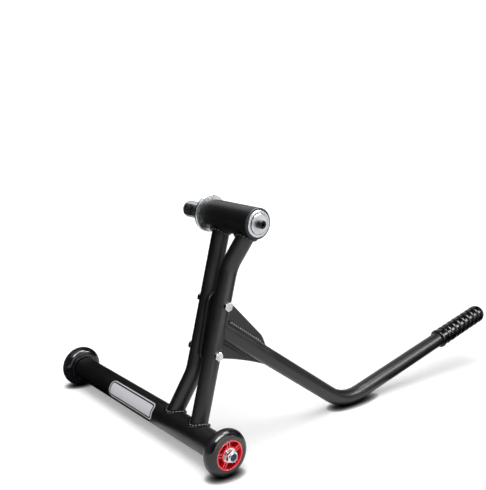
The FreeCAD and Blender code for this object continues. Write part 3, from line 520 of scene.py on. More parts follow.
OXIDE = PlatedSteel("black_oxide_socket_screw_steel", Slot.OXIDE, "#242527", 0.36,
                    metallic=0.9, tint="#2E2A2A")
RED_HUB = SpokedHub("glass_filled_nylon_glossy_red", Slot.RED, "#F2182B", 0.16, coat=1.0,
                    flow="#D21024", flow_share=0.4, axis=AXLE,
                    face=TYRE_OUTBOARD - 1.0,
                    inboard_shade_depth=(TYRE_INBOARD + TYRE_OUTBOARD) / 2 - 1.5)
TYRE = RolledTyre("cast_polyurethane_black", Slot.TYRE, "#101015", 0.15, flow="#181820",
                  grain_height=0.008, flow_size=14.0, axis=AXLE)
GRIP_RUBBER = Moulding("moulded_nitrile_rubber_black", Slot.RUBBER, "#070708", 0.24,
                       grain=0.9, grain_height=0.015, flow="#0F0F10", flow_size=12.0)
NYLON = Moulding("nylon_locking_insert_blue", Slot.NYLON, "#5F7196", 0.34, flow="#7183A6",
                 flow_size=3.0)
FOIL = PrintedFoil("silver_grey_label_foil", Slot.POWDER_COAT, "#D6D5DC", 0.36, metallic=0.2)
FOIL_INK = PrintedFoil("screen_printed_ink_black", Slot.POWDER_COAT, "#0C0C0E", 0.4,
                       flake_share=0.01)


def dress(piece: bpy.types.Object, finish: Finish) -> None:
    """Give a whole piece one finish.

    Args:
        piece: a new piece or a CAD node's object.
        finish: what it is coated with or made of.
    """
    material = finish.material()
    if piece.material_slots:
        for slot in piece.material_slots:
            slot.material = material
    else:
        piece.data.materials.append(material)
    LOG.info("%s: %s", piece.name, finish.name)


def dress_nodes(finish: Finish, *names: str) -> None:
    """Give CAD nodes a finish."""
    for name in names:
        dress(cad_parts[name], finish)


# ---------------- surfaces

def grid_quads(rows: int, columns: int, wrap_rows: bool) -> np.ndarray:
    """Quads of a grid of points: each joins a point to its neighbours one row and one column on.

    Args:
        rows: number of rows of points.
        columns: number of points in a row, of which the last one joins the first.
        wrap_rows: whether the last row joins the first.

    Returns:
        Point numbers, four to a quad.
    """
    row, column = np.meshgrid(np.arange(rows if wrap_rows else rows - 1), np.arange(columns),
                              indexing="ij")
    row_on, column_on = (row + 1) % rows, (column + 1) % columns
    corners = [row * columns + column, row * columns + column_on,
               row_on * columns + column_on, row_on * columns + column]
    return np.stack(corners, axis=-1).reshape(-1, 4)


def add_object(name: str, data: bpy.types.ID) -> bpy.types.Object:
    """Put a new object into the scene.

    Args:
        name: of the object.
        data: its mesh, lamp or camera.

    Returns:
        The object.
    """
    thing = bpy.data.objects.new(name, data)
    bpy.context.scene.collection.objects.link(thing)
    return thing


def write_mesh(name: str, points: np.ndarray, faces: np.ndarray) -> bpy.types.Mesh:
    """Put points and faces into a new mesh.

    Args:
        name: of the mesh.
        points: one row per point, in metres.
        faces: one row of point numbers per face.

    Returns:
        The mesh.
    """
    mesh = bpy.data.meshes.new(name)
    mesh.from_pydata(points.tolist(), [], faces.tolist())
    return mesh


def close_and_shade(mesh: bpy.types.Mesh, crease: float) -> None:
    """Merge seams and poles, turn all faces outwards and smooth all but the sharp edges.

    The signed volume is below zero where a closed surface is inside out.

    Args:
        mesh: a closed surface.
        crease: edges that turn by more than this, in degrees, stay sharp.
    """
    shape = bmesh.new()
    shape.from_mesh(mesh)
    bmesh.ops.remove_doubles(shape, verts=shape.verts, dist=SAME_PLACE)
    bmesh.ops.dissolve_degenerate(shape, edges=shape.edges, dist=NO_AREA)
    bmesh.ops.recalc_face_normals(shape, faces=shape.faces)
    if shape.calc_volume(signed=True) < 0:
        bmesh.ops.reverse_faces(shape, faces=shape.faces)
    for face in shape.faces:
        face.smooth = True
    shape.to_mesh(mesh)
    shape.free()
    mesh.set_sharp_from_angle(angle=math.radians(crease))


def add_piece(name: str, mesh: bpy.types.Mesh, body: Body, finish: Finish) -> bpy.types.Object:
    """Make a mesh a piece that moves with a body.

    Args:
        name: of the piece.
        mesh: its surface.
        body: what it moves with.
        finish: what it is made of.

    Returns:
        The piece.
    """
    piece = add_object(name, mesh)
    dress(piece, finish)
    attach(piece, body.value)
    return piece


def add_surface(name: str, grid: np.ndarray, body: Body, finish: Finish, wrap_rows: bool = False,
                crease: float = 40.0) -> bpy.types.Object:
    """Make a closed piece from a grid of points whose rows run all the way round it.

    Args:
        name: of the piece.
        grid: rows by columns by XYZ, in millimetres.
        body: what it moves with.
        finish: what it is made of.
        wrap_rows: whether the last row joins the first.
        crease: edges that turn by more than this, in degrees, stay sharp.

    Returns:
        The piece.
    """
    mesh = write_mesh(name, grid.reshape(-1, 3) * MM, grid_quads(*grid.shape[:2], wrap_rows))
    close_and_shade(mesh, crease)
    return add_piece(name, mesh, body, finish)


def eased_copy(node: str, body: Body, finish: Finish, width: float) -> bpy.types.Object:
    """Stand in for a CAD node with the same piece whose sharp edges are broken.

    The node's loose triangles are merged at equal points, and a bevel breaks the edges.

    Args:
        node: the CAD node.
        body: what it moves with.
        finish: what it is made of.
        width: of the broken edges, in millimetres.

    Returns:
        The piece that replaces the node.
    """
    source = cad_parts[node].data
    points = np.zeros(len(source.vertices) * 3, np.float32)
    source.vertices.foreach_get("co", points)
    points = points.reshape(-1, 3)
    corners = np.zeros(len(source.loops), np.int32)
    source.loops.foreach_get("vertex_index", corners)
    keys = np.round(points / (SAME_POINT * MM)).astype(np.int64)
    _, first, number = np.unique(keys, axis=0, return_index=True, return_inverse=True)
    faces = number.ravel()[corners].reshape(-1, 3)
    whole = np.all(faces != np.roll(faces, -1, axis=1), axis=1)
    mesh = write_mesh(node + "_eased", points[first], faces[whole])
    close_and_shade(mesh, 30.0)
    piece = add_piece(node + "_eased", mesh, body, finish)
    bevel = piece.modifiers.new("broken_edges", "BEVEL")
    for setting, value in {
            "width": width * MM, "segments": 2, "limit_method": "ANGLE",
            "angle_limit": math.radians(35), "use_clamp_overlap": True,
            "harden_normals": True}.items():
        setattr(bevel, setting, value)
    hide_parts(node)
    return piece


def unit(vectors: np.ndarray) -> np.ndarray:
    """Vectors of length one along the given ones."""
    return vectors / np.linalg.norm(vectors, axis=-1, keepdims=True)


@dataclass(frozen=True)
class WeldBead:
    """A fillet weld laid by hand: overlapping round ripples in the corner of two surfaces.

    The section is an egg whose blunt end points out of the corner. Along the seam its size grows
    and falls once per ripple like a half circle, and the ripples lag at the toes, so each one is
    a crescent.
    """
    leg: float = 4.8
    egg: float = 0.38
    pitch: float = 5.0
    ripple: float = 0.34
    lag: float = 0.3
    around: int = 20
    per_ripple: int = 7

    def lay(self, name: str, seam: Seam, closed: bool = False,
            finish: Finish = WELD_COAT) -> None:
        """Lay the bead on the stand.

        Args:
            name: of the weld.
            seam: where it runs.
            closed: whether the seam ends where it starts.
            finish: how thick the coat lies on it.
        """
        add_surface(f"weld_{name}", self.surface(*seam, closed), Body.STAND, finish, closed, 60.0)

    def surface(self, path: np.ndarray, out_a: np.ndarray, out_b: np.ndarray,
                closed: bool) -> np.ndarray:
        """Carry the section along a seam.

        A point is seam + size * (cos(v) * middle + sin(v) * side), where middle halves the angle
        between the two outward directions and side points from one to the other.

        Args:
            path: points along the seam, mm.
            out_a: outward direction of the first surface at each point.
            out_b: outward direction of the second surface at each point.
            closed: whether the seam ends where it starts.

        Returns:
            The bead's grid, one row per place along the seam.
        """
        looped = np.vstack([path, path[:1]]) if closed else path
        steps = np.linalg.norm(np.diff(looped, axis=0), axis=1)
        travel = np.concatenate([[0.0], np.cumsum(steps)])
        length = travel[-1]
        ripples = max(1, round(length / self.pitch))
        count = ripples * self.per_ripple + (0 if closed else 1)
        place = np.linspace(0, length, count, endpoint=not closed)

        def along(values: np.ndarray) -> np.ndarray:
            """Values at the even places, from those at the path's points."""
            held = np.vstack([values, values[:1]]) if closed else values
            return np.stack([np.interp(place, travel, held[:, axis]) for axis in range(3)], axis=1)

        seam, first, second = along(path), unit(along(out_a)), unit(along(out_b))
        middle = unit(first + second)
        side = unit(first - second)
        turn = np.linspace(0, 2 * math.pi, self.around, endpoint=False)
        phase = (place[:, None] / length * ripples + self.lag * np.cos(turn)) % 1.0
        crescent = np.sqrt(np.clip(1 - (2 * phase - 1) ** 2, 0, 1))
        size = self.leg * (1 - self.egg + self.egg * np.cos(turn))
        size = size * (1 - self.ripple + self.ripple * crescent)
        if not closed:
            inset = np.clip(np.minimum(place, length - place) / self.leg, 0, 1)
            size = size * np.sqrt(np.clip(1 - (1 - inset) ** 2, 0, 1))[:, None]
        spread = (np.cos(turn)[None, :, None] * middle[:, None, :]
                  + np.sin(turn)[None, :, None] * side[:, None, :])
        return seam[:, None, :] + size[:, :, None] * spread


# ---------------- frame

@dataclass(frozen=True)
class Saddle:
    """Where an upright is welded on a cross tube."""
    name: str
    x: float
    rise: float
    slope: float
    radius: float
    above: bool


@dataclass
class FrameTubes:
    """The base tube, the two uprights on it and the receiver tube on top of them."""
    upright_radius: float = 14.0
    lean: float = 13.8311
    plug_radius: float = 18.7
    tube_half: float = 215.4
    bead: WeldBead = WeldBead()
    end_bead: WeldBead = WeldBead(leg=1.5, pitch=2.6, ripple=0.12)
    saddles: tuple[Saddle, ...] = (
        Saddle("left_foot", 159.0, 0.0, 0.0, 21.2, True),
        Saddle("right_foot", 85.4, 0.0, 0.3957, 21.2, True),
        Saddle("left_head", 196.0, 345.52, 0.4965, 24.15, False),
        Saddle("right_head", 122.4, 345.52, 0.0, 24.15, False))

    def upright(self, x: np.ndarray, normal: np.ndarray, rise: np.ndarray) -> np.ndarray:
        """Turn (x, off the uprights' plane, up along it) into a direction of the part's frame."""
        lean = math.radians(self.lean)
        return np.stack([x, math.cos(lean) * normal + math.sin(lean) * rise,
                         -math.sin(lean) * normal + math.cos(lean) * rise], axis=-1)

    def saddle_seam(self, saddle: Saddle) -> Seam:
        """The seam of an upright on a cross tube.

        Round the upright by the angle a, the seam is off the plane by r sin(a). It lies on the
        cross tube, so its rise is the tube's axis plus or minus the root of R^2 - (r sin(a))^2,
        and x follows the upright's slope plus r cos(a) over the cosine of that slope's angle.

        Args:
            saddle: which one.

        Returns:
            The seam's points and the outward directions of both tubes there.
        """
        angle = np.linspace(0, 2 * math.pi, 240, endpoint=False)
        tilt = math.atan(saddle.slope)
        off = self.upright_radius * np.sin(angle)
        sign = 1.0 if saddle.above else -1.0
        rise = saddle.rise + sign * np.sqrt(saddle.radius ** 2 - off ** 2)
        across = (saddle.x + (rise - saddle.rise) * saddle.slope
                  + self.upright_radius * np.cos(angle) / math.cos(tilt))
        seam = self.upright(across, off, rise) + np.array([0.0, *AXLE])
        off_upright = self.upright(math.cos(tilt) * np.cos(angle), np.sin(angle),
                                   -math.sin(tilt) * np.cos(angle))
        off_tube = self.upright(np.zeros_like(off), off / saddle.radius,
                                (rise - saddle.rise) / saddle.radius)
        return seam, off_upright, off_tube

    def build_welds(self) -> None:
        """Lay the beads round the uprights' ends and round the base tube's end plugs.

        An end plug is flush with the tube's end, so both surfaces there look the same way. The
        second is turned very slightly outwards, to say which side the bead's section turns to.
        """
        for saddle in self.saddles:
            self.bead.lay(saddle.name, self.saddle_seam(saddle), closed=True)
        angle = np.linspace(0, 2 * math.pi, 180, endpoint=False)
        for side, sign in (("left", 1.0), ("right", -1.0)):
            outward = np.stack([np.zeros_like(angle), np.cos(angle), np.sin(angle)], axis=1)
            seam = outward * self.plug_radius + np.array([sign * self.tube_half, *AXLE])
            ahead = np.tile([sign, 0.0, 0.0], (len(angle), 1))
            self.end_bead.lay(f"{side}_end_plug", (seam, ahead, ahead + 1e-3 * outward),
                              closed=True)

    def build(self) -> None:
        """Coat the tubes and add the welds."""
        dress_nodes(BLACK_COAT, "base_tube", "left_upright", "right_upright", "receiver_tube",
                    "left_end_plug", "right_end_plug")
        self.build_welds()


@dataclass
class BareLabel:
    """The foil label on the base tube. It carries no words: only its frame line is printed."""
    x_start: float = -84.0
    x_stop: float = 58.0
    low: float = -15.0
    high: float = 66.0
    radius: float = 21.22
    thickness: float = 0.28
    corner: float = 8.5
    line_inset: float = 3.4
    line_width: float = 2.6
    line_height: float = 0.06
    line_depth: float = 0.1
    line_step: float = 2.0

    def wrap(self, across: np.ndarray, up: np.ndarray, height: np.ndarray) -> np.ndarray:
        """Lay flat foil round the tube: up is arc length, from -Y towards +Z.

        Args:
            across: along the tube, from the label's middle, mm.
            up: round the tube, from the label's middle, mm.
            height: above the tube's surface, mm.

        Returns:
            Points in the part's frame.
        """
        middle = math.radians((self.low + self.high) / 2)
        angle = middle + up / self.radius
        reach = self.radius + height
        return np.stack([across + (self.x_start + self.x_stop) / 2,
                         AXLE[0] - reach * np.cos(angle),
                         AXLE[1] + reach * np.sin(angle)], axis=-1)

    def half_sizes(self) -> tuple[float, float]:
        """Half the foil's length along the tube and half its width round it."""
        return ((self.x_stop - self.x_start) / 2,
                math.radians(self.high - self.low) / 2 * self.radius)

    def foil(self) -> np.ndarray:
        """The foil: rows round the tube, each as long as the rounded corners allow.

        A row at height u has half the length w - c + sqrt(c^2 - e^2), where e is how far u lies
        beyond the start of the corner of radius c. It runs back along the tube at height 0, and
        the outer rows come once more with no thickness, which closes the foil's sides.

        Returns:
            The foil's grid.
        """
        half_x, half_up = self.half_sizes()
        bend = np.linspace(-math.pi / 2, math.pi / 2, 9)
        flat = half_up - self.corner
        end = flat + self.corner * np.sin(bend[4:])
        up = np.concatenate([-end[::-1], np.linspace(-flat, flat, 14)[1:-1], end])
        thick = np.pad(np.full(len(up), self.thickness), 1)
        up = np.pad(up, 1, mode="edge")
        beyond = np.clip(np.abs(up) - flat, 0, self.corner)
        reach = half_x - self.corner + np.sqrt(self.corner ** 2 - beyond ** 2)
        share = np.linspace(-1, 1, 30)
        across = reach[:, None] * np.concatenate([share, share[::-1]])
        heights = thick[:, None] * np.repeat([1, 0], len(share))
        return self.wrap(across, np.broadcast_to(up[:, None], across.shape), heights)

    def line(self) -> np.ndarray:
        """The printed frame line: a flat ribbon along a rounded rectangle.

        Returns:
            The ribbon's grid, one row per place along the line.
        """
        half_x, half_up = self.half_sizes()
        corner = self.corner - self.line_inset
        box = np.array([half_x, half_up]) - self.line_inset - corner
        quarter = np.linspace(0, math.pi / 2, 9)
        angle = (quarter + np.arange(4)[:, None] * math.pi / 2).ravel()
        heading = np.stack([np.cos(angle), np.sin(angle)], axis=1)
        signs = np.repeat([(1, 1), (-1, 1), (-1, -1), (1, -1)], len(quarter), axis=0)
        path = box * signs + heading * corner
        gaps = np.linalg.norm(np.roll(path, -1, axis=0) - path, axis=1)
        counts = np.maximum(1, np.ceil(gaps / self.line_step)).astype(int)
        share = np.concatenate([np.arange(count) / count for count in counts])
        number = np.repeat(np.arange(len(path)), counts)
        following = (number + 1) % len(path)
        path = path[number] + (path[following] - path[number]) * share[:, None]
        heading = unit(heading[number] + (heading[following] - heading[number]) * share[:, None])
        offsets = np.array([-0.5, 0.5, 0.5, -0.5]) * self.line_width
        heights = self.thickness + np.repeat([self.line_height, -self.line_depth], 2)
        flat = path[:, None, :] + heading[:, None, :] * offsets[None, :, None]
        return self.wrap(flat[..., 0], flat[..., 1], np.tile(heights, (len(path), 1)))

    def build(self) -> None:
        """Put the foil and its line on the base tube."""
        add_surface("label_foil", self.foil(), Body.STAND, FOIL)
        add_surface("label_line", self.line(), Body.STAND, FOIL_INK, wrap_rows=True)


# ---------------- lift side

class LiftPin:
    """The bushes in the receiver, and the pin that turns in them with its disc and screw."""

    def build(self) -> None:
        """Finish the turned pieces."""
        dress_nodes(PIN_STEEL, "receiver_left_bush", "receiver_right_bush", "lift_pin",
                    "pin_retaining_disc")
        dress_nodes(OXIDE, "pin_screw")


# ---------------- lever

@dataclass
class Lever:
    """The bent lever tube, the fishtail plate welded to it, and the bolts that hold the plate."""
    x: float = 159.0
    radius: float = 14.0
    head: tuple[float, float] = (-305.049, 208.944)
    slope: float = 35.5
    flank: WeldBead = WeldBead(leg=5.8, pitch=5.2, ripple=0.24)
    tip_bead: WeldBead = WeldBead(leg=2.6, pitch=3.0, ripple=0.14)
    flank_x: float = 147.3
    flank_rise: float = 13.4
    upper_run: tuple[float, float] = (26.0, 108.0)
    lower_run: tuple[float, float] = (14.0, 100.0)
    tip: tuple[float, float] = (146.5, -5.5)
    tip_round: float = 6.0
    tip_gap: float = 0.4
    tip_turns: tuple[float, float] = (-95.0, 58.0)

    def beside(self, run: np.ndarray, rise: np.ndarray, x: np.ndarray) -> np.ndarray:
        """A point beside the lever's front stretch: along it from its head, and square to it."""
        slope = math.radians(self.slope)
        return np.stack([x, self.head[0] + run * math.cos(slope) + rise * math.sin(slope),
                         self.head[1] - run * math.sin(slope) + rise * math.cos(slope)], axis=-1)

    def flank_seam(self, run: tuple[float, float], hand: float) -> Seam:
        """The straight seam where the tube's flank meets the plate's face.

        Args:
            run: where it starts and stops along the lever, mm.
            hand: 1 above the tube and -1 below it.

        Returns:
            The seam's points and the outward directions of plate and tube there.
        """
        place = np.linspace(*run, 60)
        level = np.full_like(place, self.flank_rise * hand)
        across = np.full_like(place, self.flank_x)
        seam = self.beside(place, level, across)
        upward = self.beside(place, level + hand, across) - seam
        off_plate = np.tile([1.0, 0.0, 0.0], (len(place), 1))
        return seam, off_plate, upward

    def tip_seam(self) -> Seam:
        """The seam round the plate's tip, where its edge meets the tube.

        It follows the tip's round, and lies on the tube's own surface: x - sqrt(r^2 - rise^2).

        Returns:
            The seam's points and the outward directions of the plate's edge and the tube there.
        """
        turn = np.radians(np.linspace(*self.tip_turns, 60))
        reach = self.tip_round + self.tip_gap
        run = self.tip[0] + reach * np.cos(turn)
        rise = self.tip[1] + reach * np.sin(turn)
        across = self.x - np.sqrt(self.radius ** 2 - rise ** 2)
        seam = self.beside(run, rise, across)
        outward = self.beside(run + np.cos(turn), rise + np.sin(turn), across) - seam
        off_tube = np.tile([-1.0, 0.0, 0.0], (len(turn), 1))
        return seam, outward, off_tube

    def build(self) -> None:
        """Coat the tube and plate, lay their welds and plate the bolts."""
        dress_nodes(BLACK_COAT, "lever_tube", "lever_fishtail_plate")
        dress_nodes(ZINC, "lever_bolts", "lever_nuts")
        self.flank.lay("plate_upper", self.flank_seam(self.upper_run, 1.0), finish=BLACK_COAT)
        self.flank.lay("plate_lower", self.flank_seam(self.lower_run, -1.0), finish=BLACK_COAT)
        self.tip_bead.lay("plate_tip", self.tip_seam())


@dataclass
class Grip:
    """The rubber grip over the lever's end: a collar, a narrow ring, domed ribs, a rounded end."""
    x: float = 159.0
    corner: tuple[float, float] = (-21.369, 6.597)
    slope: float = 13.5
    start: float = 277.0
    reach: float = 415.0
    bore: float = 14.05
    neck: float = 15.8
    collar: float = 18.5
    collar_width: float = 6.0
    ring_start: float = 294.6
    ring_width: float = 6.0
    rib: float = 17.8
    first_rib: float = 305.4
    pitch: float = 14.8
    ribs: int = 7
    cap: float = 5.0
    end_round: float = 6.0

    def outline(self) -> np.ndarray:
        """The section from the pole at the rounded end, along the outside, and back by the bore.

        Over one rib the radius is neck + rise * (1 - |2 u - 1|^3)^0.6, with u from 0 to 1.

        Returns:
            The place along the lever and the radius of each of its points, mm.
        """
        quarter = np.linspace(0, math.pi / 2, 12)
        end = np.stack([self.reach - self.end_round + self.end_round * np.cos(quarter),
                        self.neck - self.end_round + self.end_round * np.sin(quarter)], axis=1)
        face = np.stack([np.full(4, self.reach), np.linspace(0, self.neck - self.end_round, 5)[:4]],
                        axis=1)
        share = np.linspace(0, 1, 25)[:-1]
        dome = self.neck + (self.rib - self.neck) * (1 - np.abs(2 * share - 1) ** 3) ** 0.6
        number = np.arange(self.ribs)[:, None]
        stations = (self.first_rib + (number + share[None, :]) * self.pitch).ravel()
        domes = np.stack([stations, np.tile(dome, self.ribs)], axis=1)[::-1]

        def band(start: float, width: float, top: float) -> np.ndarray:
            """A raised band with soft edges, from its far side to its near side.

            Args:
                start: where it starts along the lever, mm.
                width: along the lever, mm.
                top: its radius, mm.

            Returns:
                Its stretch of the outline.
            """
            u = np.linspace(0, 1, 17)
            lift = (1 - np.abs(2 * u - 1) ** 5) ** 0.5
            return np.stack([start + u * width, self.neck + (top - self.neck) * lift], axis=1)[::-1]

        narrow = band(self.ring_start, self.ring_width, self.rib)
        collar = band(self.start + 0.2, self.collar_width + 1.0, self.collar)
        mouth = np.array([[self.start, self.neck], [self.start, self.bore],
                          [self.reach - self.cap, self.bore], [self.reach - self.cap, 0.0]])
        return np.concatenate([face, end, domes, narrow, collar, mouth])

    def surface(self) -> np.ndarray:
        """Turn the outline about the lever's rear stretch: radius * (cos, sin) round its line.

        Returns:
            The grip's grid, one row per point of the outline.
        """
        section = self.outline()
        slope = math.radians(self.slope)
        axis = np.array([0.0, math.cos(slope), math.sin(slope)])
        lift = np.array([0.0, -math.sin(slope), math.cos(slope)])
        side = np.array([1.0, 0.0, 0.0])
        turn = np.linspace(0, 2 * math.pi, 96, endpoint=False)
        spoke = np.cos(turn)[:, None] * side + np.sin(turn)[:, None] * lift
        origin = np.array([self.x, *self.corner])
        return (origin + section[:, None, :1] * axis + section[:, None, 1:] * spoke[None, :, :])

    def build(self) -> None:
        """Turn the grip and let it stand for the CAD one."""
        piece = add_surface("grip_ribbed_rubber", self.surface(), Body.STAND, GRIP_RUBBER,
                            crease=50.0)
        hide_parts("lever_grip")


# ---------------- wheels

@dataclass
class TrackWheel:
    """One wheel with its bearings, and the stud, washer and locking nut that hold it."""
    side: str
    body: Body
    hub_edge: float = 0.5

    def build(self) -> None:
        """Finish the wheel's pieces."""
        eased_copy(f"{self.side}_wheel_hub", self.body, RED_HUB, self.hub_edge)
        for name, finish in {
                "wheel_tyre": TYRE, "bearing_outer_rings": RING_STEEL,
                "bearing_inner_rings": RING_STEEL, "bearing_sleeve": PLUG_STEEL,
                "wheel_stud": STUD_STEEL, "wheel_washer": ZINC, "wheel_nut": ZINC,
                "nut_insert": NYLON}.items():
            dress_nodes(finish, f"{self.side}_{name}")


# ---------------- studio

@dataclass(frozen=True)
class Softlight:
    """A broad far lamp: its direction from the stand, how wide it looks, and its strength."""
    name: str
    tilt: float
    turn: float
    width: float
    strength: float


@dataclass(frozen=True)
class Card:
    """A card that only shows in gloss: black at strength 0, otherwise a lit panel."""
    name: str
    place: tuple[float, float, float]
    aim: tuple[float, float, float]
    width: float
    height: float
    strength: float = 0.0


def add_sheet(name: str, material: str, width: float,
              height: float) -> tuple[bpy.types.Object, bpy.types.NodeTree]:
    """Add a flat rectangle round the origin to the studio.

    Args:
        name: of the sheet.
        material: name of its new material.
        width: along X, in metres.
        height: along Y, in metres.

    Returns:
        The sheet and its material's bare node tree.
    """
    x, y = width / 2, height / 2
    corners = np.array([(-x, -y, 0), (x, -y, 0), (x, y, 0), (-x, y, 0)])
    sheet = add_object(name, write_mesh(name, corners, np.array([[0, 1, 2, 3]])))
    sheet.data.materials.append(bpy.data.materials.new(material))
    return sheet, bare_tree(sheet.data.materials[0])


@dataclass
class Studio:
    """A pale floor in a white room, soft lamps, cards for the gloss and the photo's camera."""
    camera_place: tuple[float, float, float] = (1097.96, -999.48, 582.67)
    azimuth: float = 51.592
    elevation: float = 11.851
    roll: float = 0.05
    lens: float = 57.473
    sensor: float = 36.0
    clips: tuple[float, float] = (0.05, 100.0)
    floor_size: float = 60.0
    contact_reach: float = 0.015
    contact_shade: float = 3.6
    floor_glow: float = 0.22
    world_light: float = 0.35
    lamps: tuple[Softlight, ...] = (Softlight("overhead_softbox", 6.0, -40.0, 40.0, 1.5),
                                    Softlight("key_softbox", 48.0, -34.0, 40.0, 0.9))
    cards: tuple[Card, ...] = (
        Card("left_flag", (-1.0, -1.7, 0.9), (1.0, -1.7, 0.9), 2.9, 1.8),
        Card("front_flag", (-0.2, -1.8, 0.9), (-0.2, 0.0, 0.9), 1.7, 1.8),
        Card("camera_flag", (1.3, -1.4, 0.8), (0.16, -0.3, 0.2), 1.5, 1.6),
        Card("ceiling_flag", (0.4, 1.1, 1.6), (0.4, 1.1, 0.0), 2.4, 1.8),
        Card("back_flag", (0.1, 1.5, 0.6), (0.1, 0.0, 0.6), 1.9, 1.1),
        Card("far_flag", (1.08, 1.0, 0.45), (0.0, 1.0, 0.45), 1.0, 0.9),
        Card("low_flag", (-0.45, -0.3, 0.31), (0.0, -0.3, 0.31), 1.2, 0.62),
        Card("floor_cloth", (-0.47, -0.8, 0.0005), (-0.47, -0.8, 1.0), 0.98, 1.0),
        Card("side_cloth", (0.585, 0.66, 0.0005), (0.585, 0.66, 1.0), 0.83, 1.08),
        Card("side_panel", (1.0, -0.06, 0.28), (0.0, -0.06, 0.28), 1.02, 0.56, 2.3),
        Card("side_strip", (0.95, 0.74, 0.82), (0.16, 0.26, 0.14), 0.5, 0.34, 21.0),
        Card("overhead_strip", (0.56, -0.33, 1.0), (0.16, -0.47, 0.07), 1.3, 0.5, 18.0),
        Card("end_card", (0.32, -0.21, 0.36), (0.21, -0.265, 0.373), 0.19, 0.15, 0.78),
        Card("receiver_flag", (0.2, -0.335, 0.45), (0.2, -0.335, 0.0), 0.28, 0.12),
        Card("wheel_flag", (0.307, -0.271, 0.127), (0.25, -0.36, 0.07), 0.07, 0.07),
        Card("hub_card", (0.33, -0.284, 0.016), (0.253, -0.345, 0.036), 0.1, 0.05, 1.9),
    )

    def aimed(self, place: tuple[float, float, float],
              aim: tuple[float, float, float]) -> Matrix:
        """Work out the placement of a thing whose -Z looks at a point.

        Args:
            place: where it stands, in metres.
            aim: what it looks at, in metres.

        Returns:
            Its placement.
        """
        start = Vector(place)
        turn = (Vector(aim) - start).to_track_quat("-Z", "Y").to_matrix().to_4x4()
        return Matrix.Translation(start) @ turn

    def add_floor(self) -> None:
        """A pale floor that is lit to white and keeps the stand's shadow.

        Where the stand comes within `contact_reach` of the floor, the floor's own white sinks
        towards black, which gives the dark foot of the shadow.
        """
        _, tree = add_sheet("floor", "studio_floor_white_laminate", self.floor_size,
                            self.floor_size)
        near = add_node(tree, "AmbientOcclusion", {
            "Color": FLOOR_WHITE, "Distance": self.contact_reach, "samples": 16})
        contact = add_node(tree, "Math", {
            "operation": "POWER", 0: near.outputs["AO"], 1: self.contact_shade})
        shade = add_node(tree, "Mix", {
            "data_type": "RGBA", 0: contact.outputs[0], 6: "#000000", 7: FLOOR_WHITE}).outputs[2]
        white = add_node(tree, "BsdfDiffuse", {"Color": shade})
        glow = add_node(tree, "Emission", {
            "Color": shade, "Strength": self.seen(tree, self.floor_glow)})
        both = add_node(tree, "AddShader", {0: white.outputs[0], 1: glow.outputs[0]})
        add_node(tree, "OutputMaterial", {"Surface": both.outputs[0]})

    def seen(self, tree: bpy.types.NodeTree, strength: float) -> Socket:
        """Give a strength to rays from the camera, from gloss and through glass, and 0 to others.

        Args:
            tree: the node tree of what is seen.
            strength: for those rays.

        Returns:
            The strength of each ray.
        """
        path = add_node(tree, "LightPath", {}).outputs
        either = add_node(tree, "Math", {
            "operation": "MAXIMUM", 0: path["Is Camera Ray"], 1: path["Is Glossy Ray"]})
        any_of = add_node(tree, "Math", {
            "operation": "MAXIMUM", 0: either.outputs[0], 1: path["Is Transmission Ray"]})
        return add_node(tree, "Math", {
            "operation": "MULTIPLY", 0: any_of.outputs[0], 1: strength}).outputs[0]

    def add_room(self) -> None:
        """A white room where it is seen, which lights the stand only softly."""
        world = bpy.data.worlds.new("studio_room")
        bpy.context.scene.world = world
        tree = bare_tree(world)
        strength = add_node(tree, "Math", {
            "operation": "ADD", 0: self.seen(tree, 1.0 - self.world_light), 1: self.world_light})
        background = add_node(tree, "Background", {
            "Color": "#FFFFFF", "Strength": strength.outputs[0]})
        add_node(tree, "OutputWorld", {"Surface": background.outputs[0]})

    def add_lamps(self) -> None:
        """The lamps that light the stand and cast its shadow. Gloss mirrors the cards instead."""
        for lamp in self.lamps:
            data = bpy.data.lights.new(lamp.name, "SUN")
            data.angle = math.radians(lamp.width)
            data.energy = lamp.strength
            thing = add_object(lamp.name, data)
            thing.visible_glossy = False
            tilt, turn = math.radians(lamp.tilt), math.radians(lamp.turn)
            place = (math.sin(tilt) * math.cos(turn), math.sin(tilt) * math.sin(turn),
                     math.cos(tilt))
            thing.matrix_world = self.aimed(place, (0.0, 0.0, 0.0))

    def add_cards(self) -> None:
        """The black flags and lit panels that the tubes mirror."""
        for card in self.cards:
            sheet, tree = add_sheet(card.name, "studio_" + card.name, card.width, card.height)
            sheet.matrix_world = self.aimed(card.place, card.aim)
            for kind in ("camera", "diffuse", "transmission", "volume_scatter", "shadow"):
                setattr(sheet, "visible_" + kind, False)
            light = add_node(tree, "Emission", {"Color": "#FFFFFF", "Strength": card.strength})
            add_node(tree, "OutputMaterial", {"Surface": light.outputs[0]})

    def add_camera(self) -> None:
        """The camera: it looks against the azimuth and down by the elevation."""
        turn, rise = math.radians(self.azimuth), math.radians(self.elevation)
        back = Vector((math.sin(turn) * math.cos(rise), -math.cos(turn) * math.cos(rise),
                       math.sin(rise)))
        right = Vector((math.cos(turn), math.sin(turn), 0.0))
        up = back.cross(right)
        rotation = Matrix((right, up, back)).transposed().to_4x4()
        data = bpy.data.cameras.new("photo_camera")
        data.lens = self.lens
        data.sensor_width = self.sensor
        data.clip_start, data.clip_end = self.clips
        camera = add_object("photo_camera", data)
        camera.matrix_world = (Matrix.Translation(Vector(self.camera_place) * MM) @ rotation
                               @ Matrix.Rotation(math.radians(self.roll), 4, "Z"))
        bpy.context.scene.camera = camera

    def build(self) -> None:
        """Set up floor, room, lamps and camera."""
        self.add_floor()
        self.add_room()
        self.add_lamps()
        self.add_cards()
        self.add_camera()
        bpy.context.scene.view_settings.view_transform = "Standard"


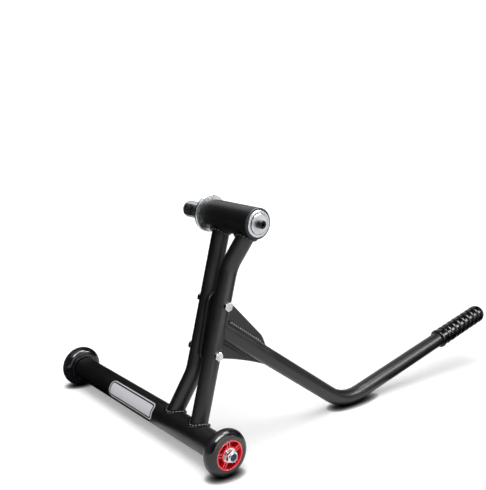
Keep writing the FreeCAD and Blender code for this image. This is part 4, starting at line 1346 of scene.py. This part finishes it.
def main() -> None:
    """Build every sub-assembly, then the studio."""
    logging.basicConfig(level=logging.INFO, format="%(name)s: %(message)s")
    for assembly in (FrameTubes(), BareLabel(), LiftPin(), Lever(), Grip(),
                     TrackWheel("left", Body.LEFT_WHEEL), TrackWheel("right", Body.RIGHT_WHEEL),
                     Studio()):
        LOG.info("building %s", type(assembly).__name__)
        assembly.build()


if __name__ == "__main__":
    main()
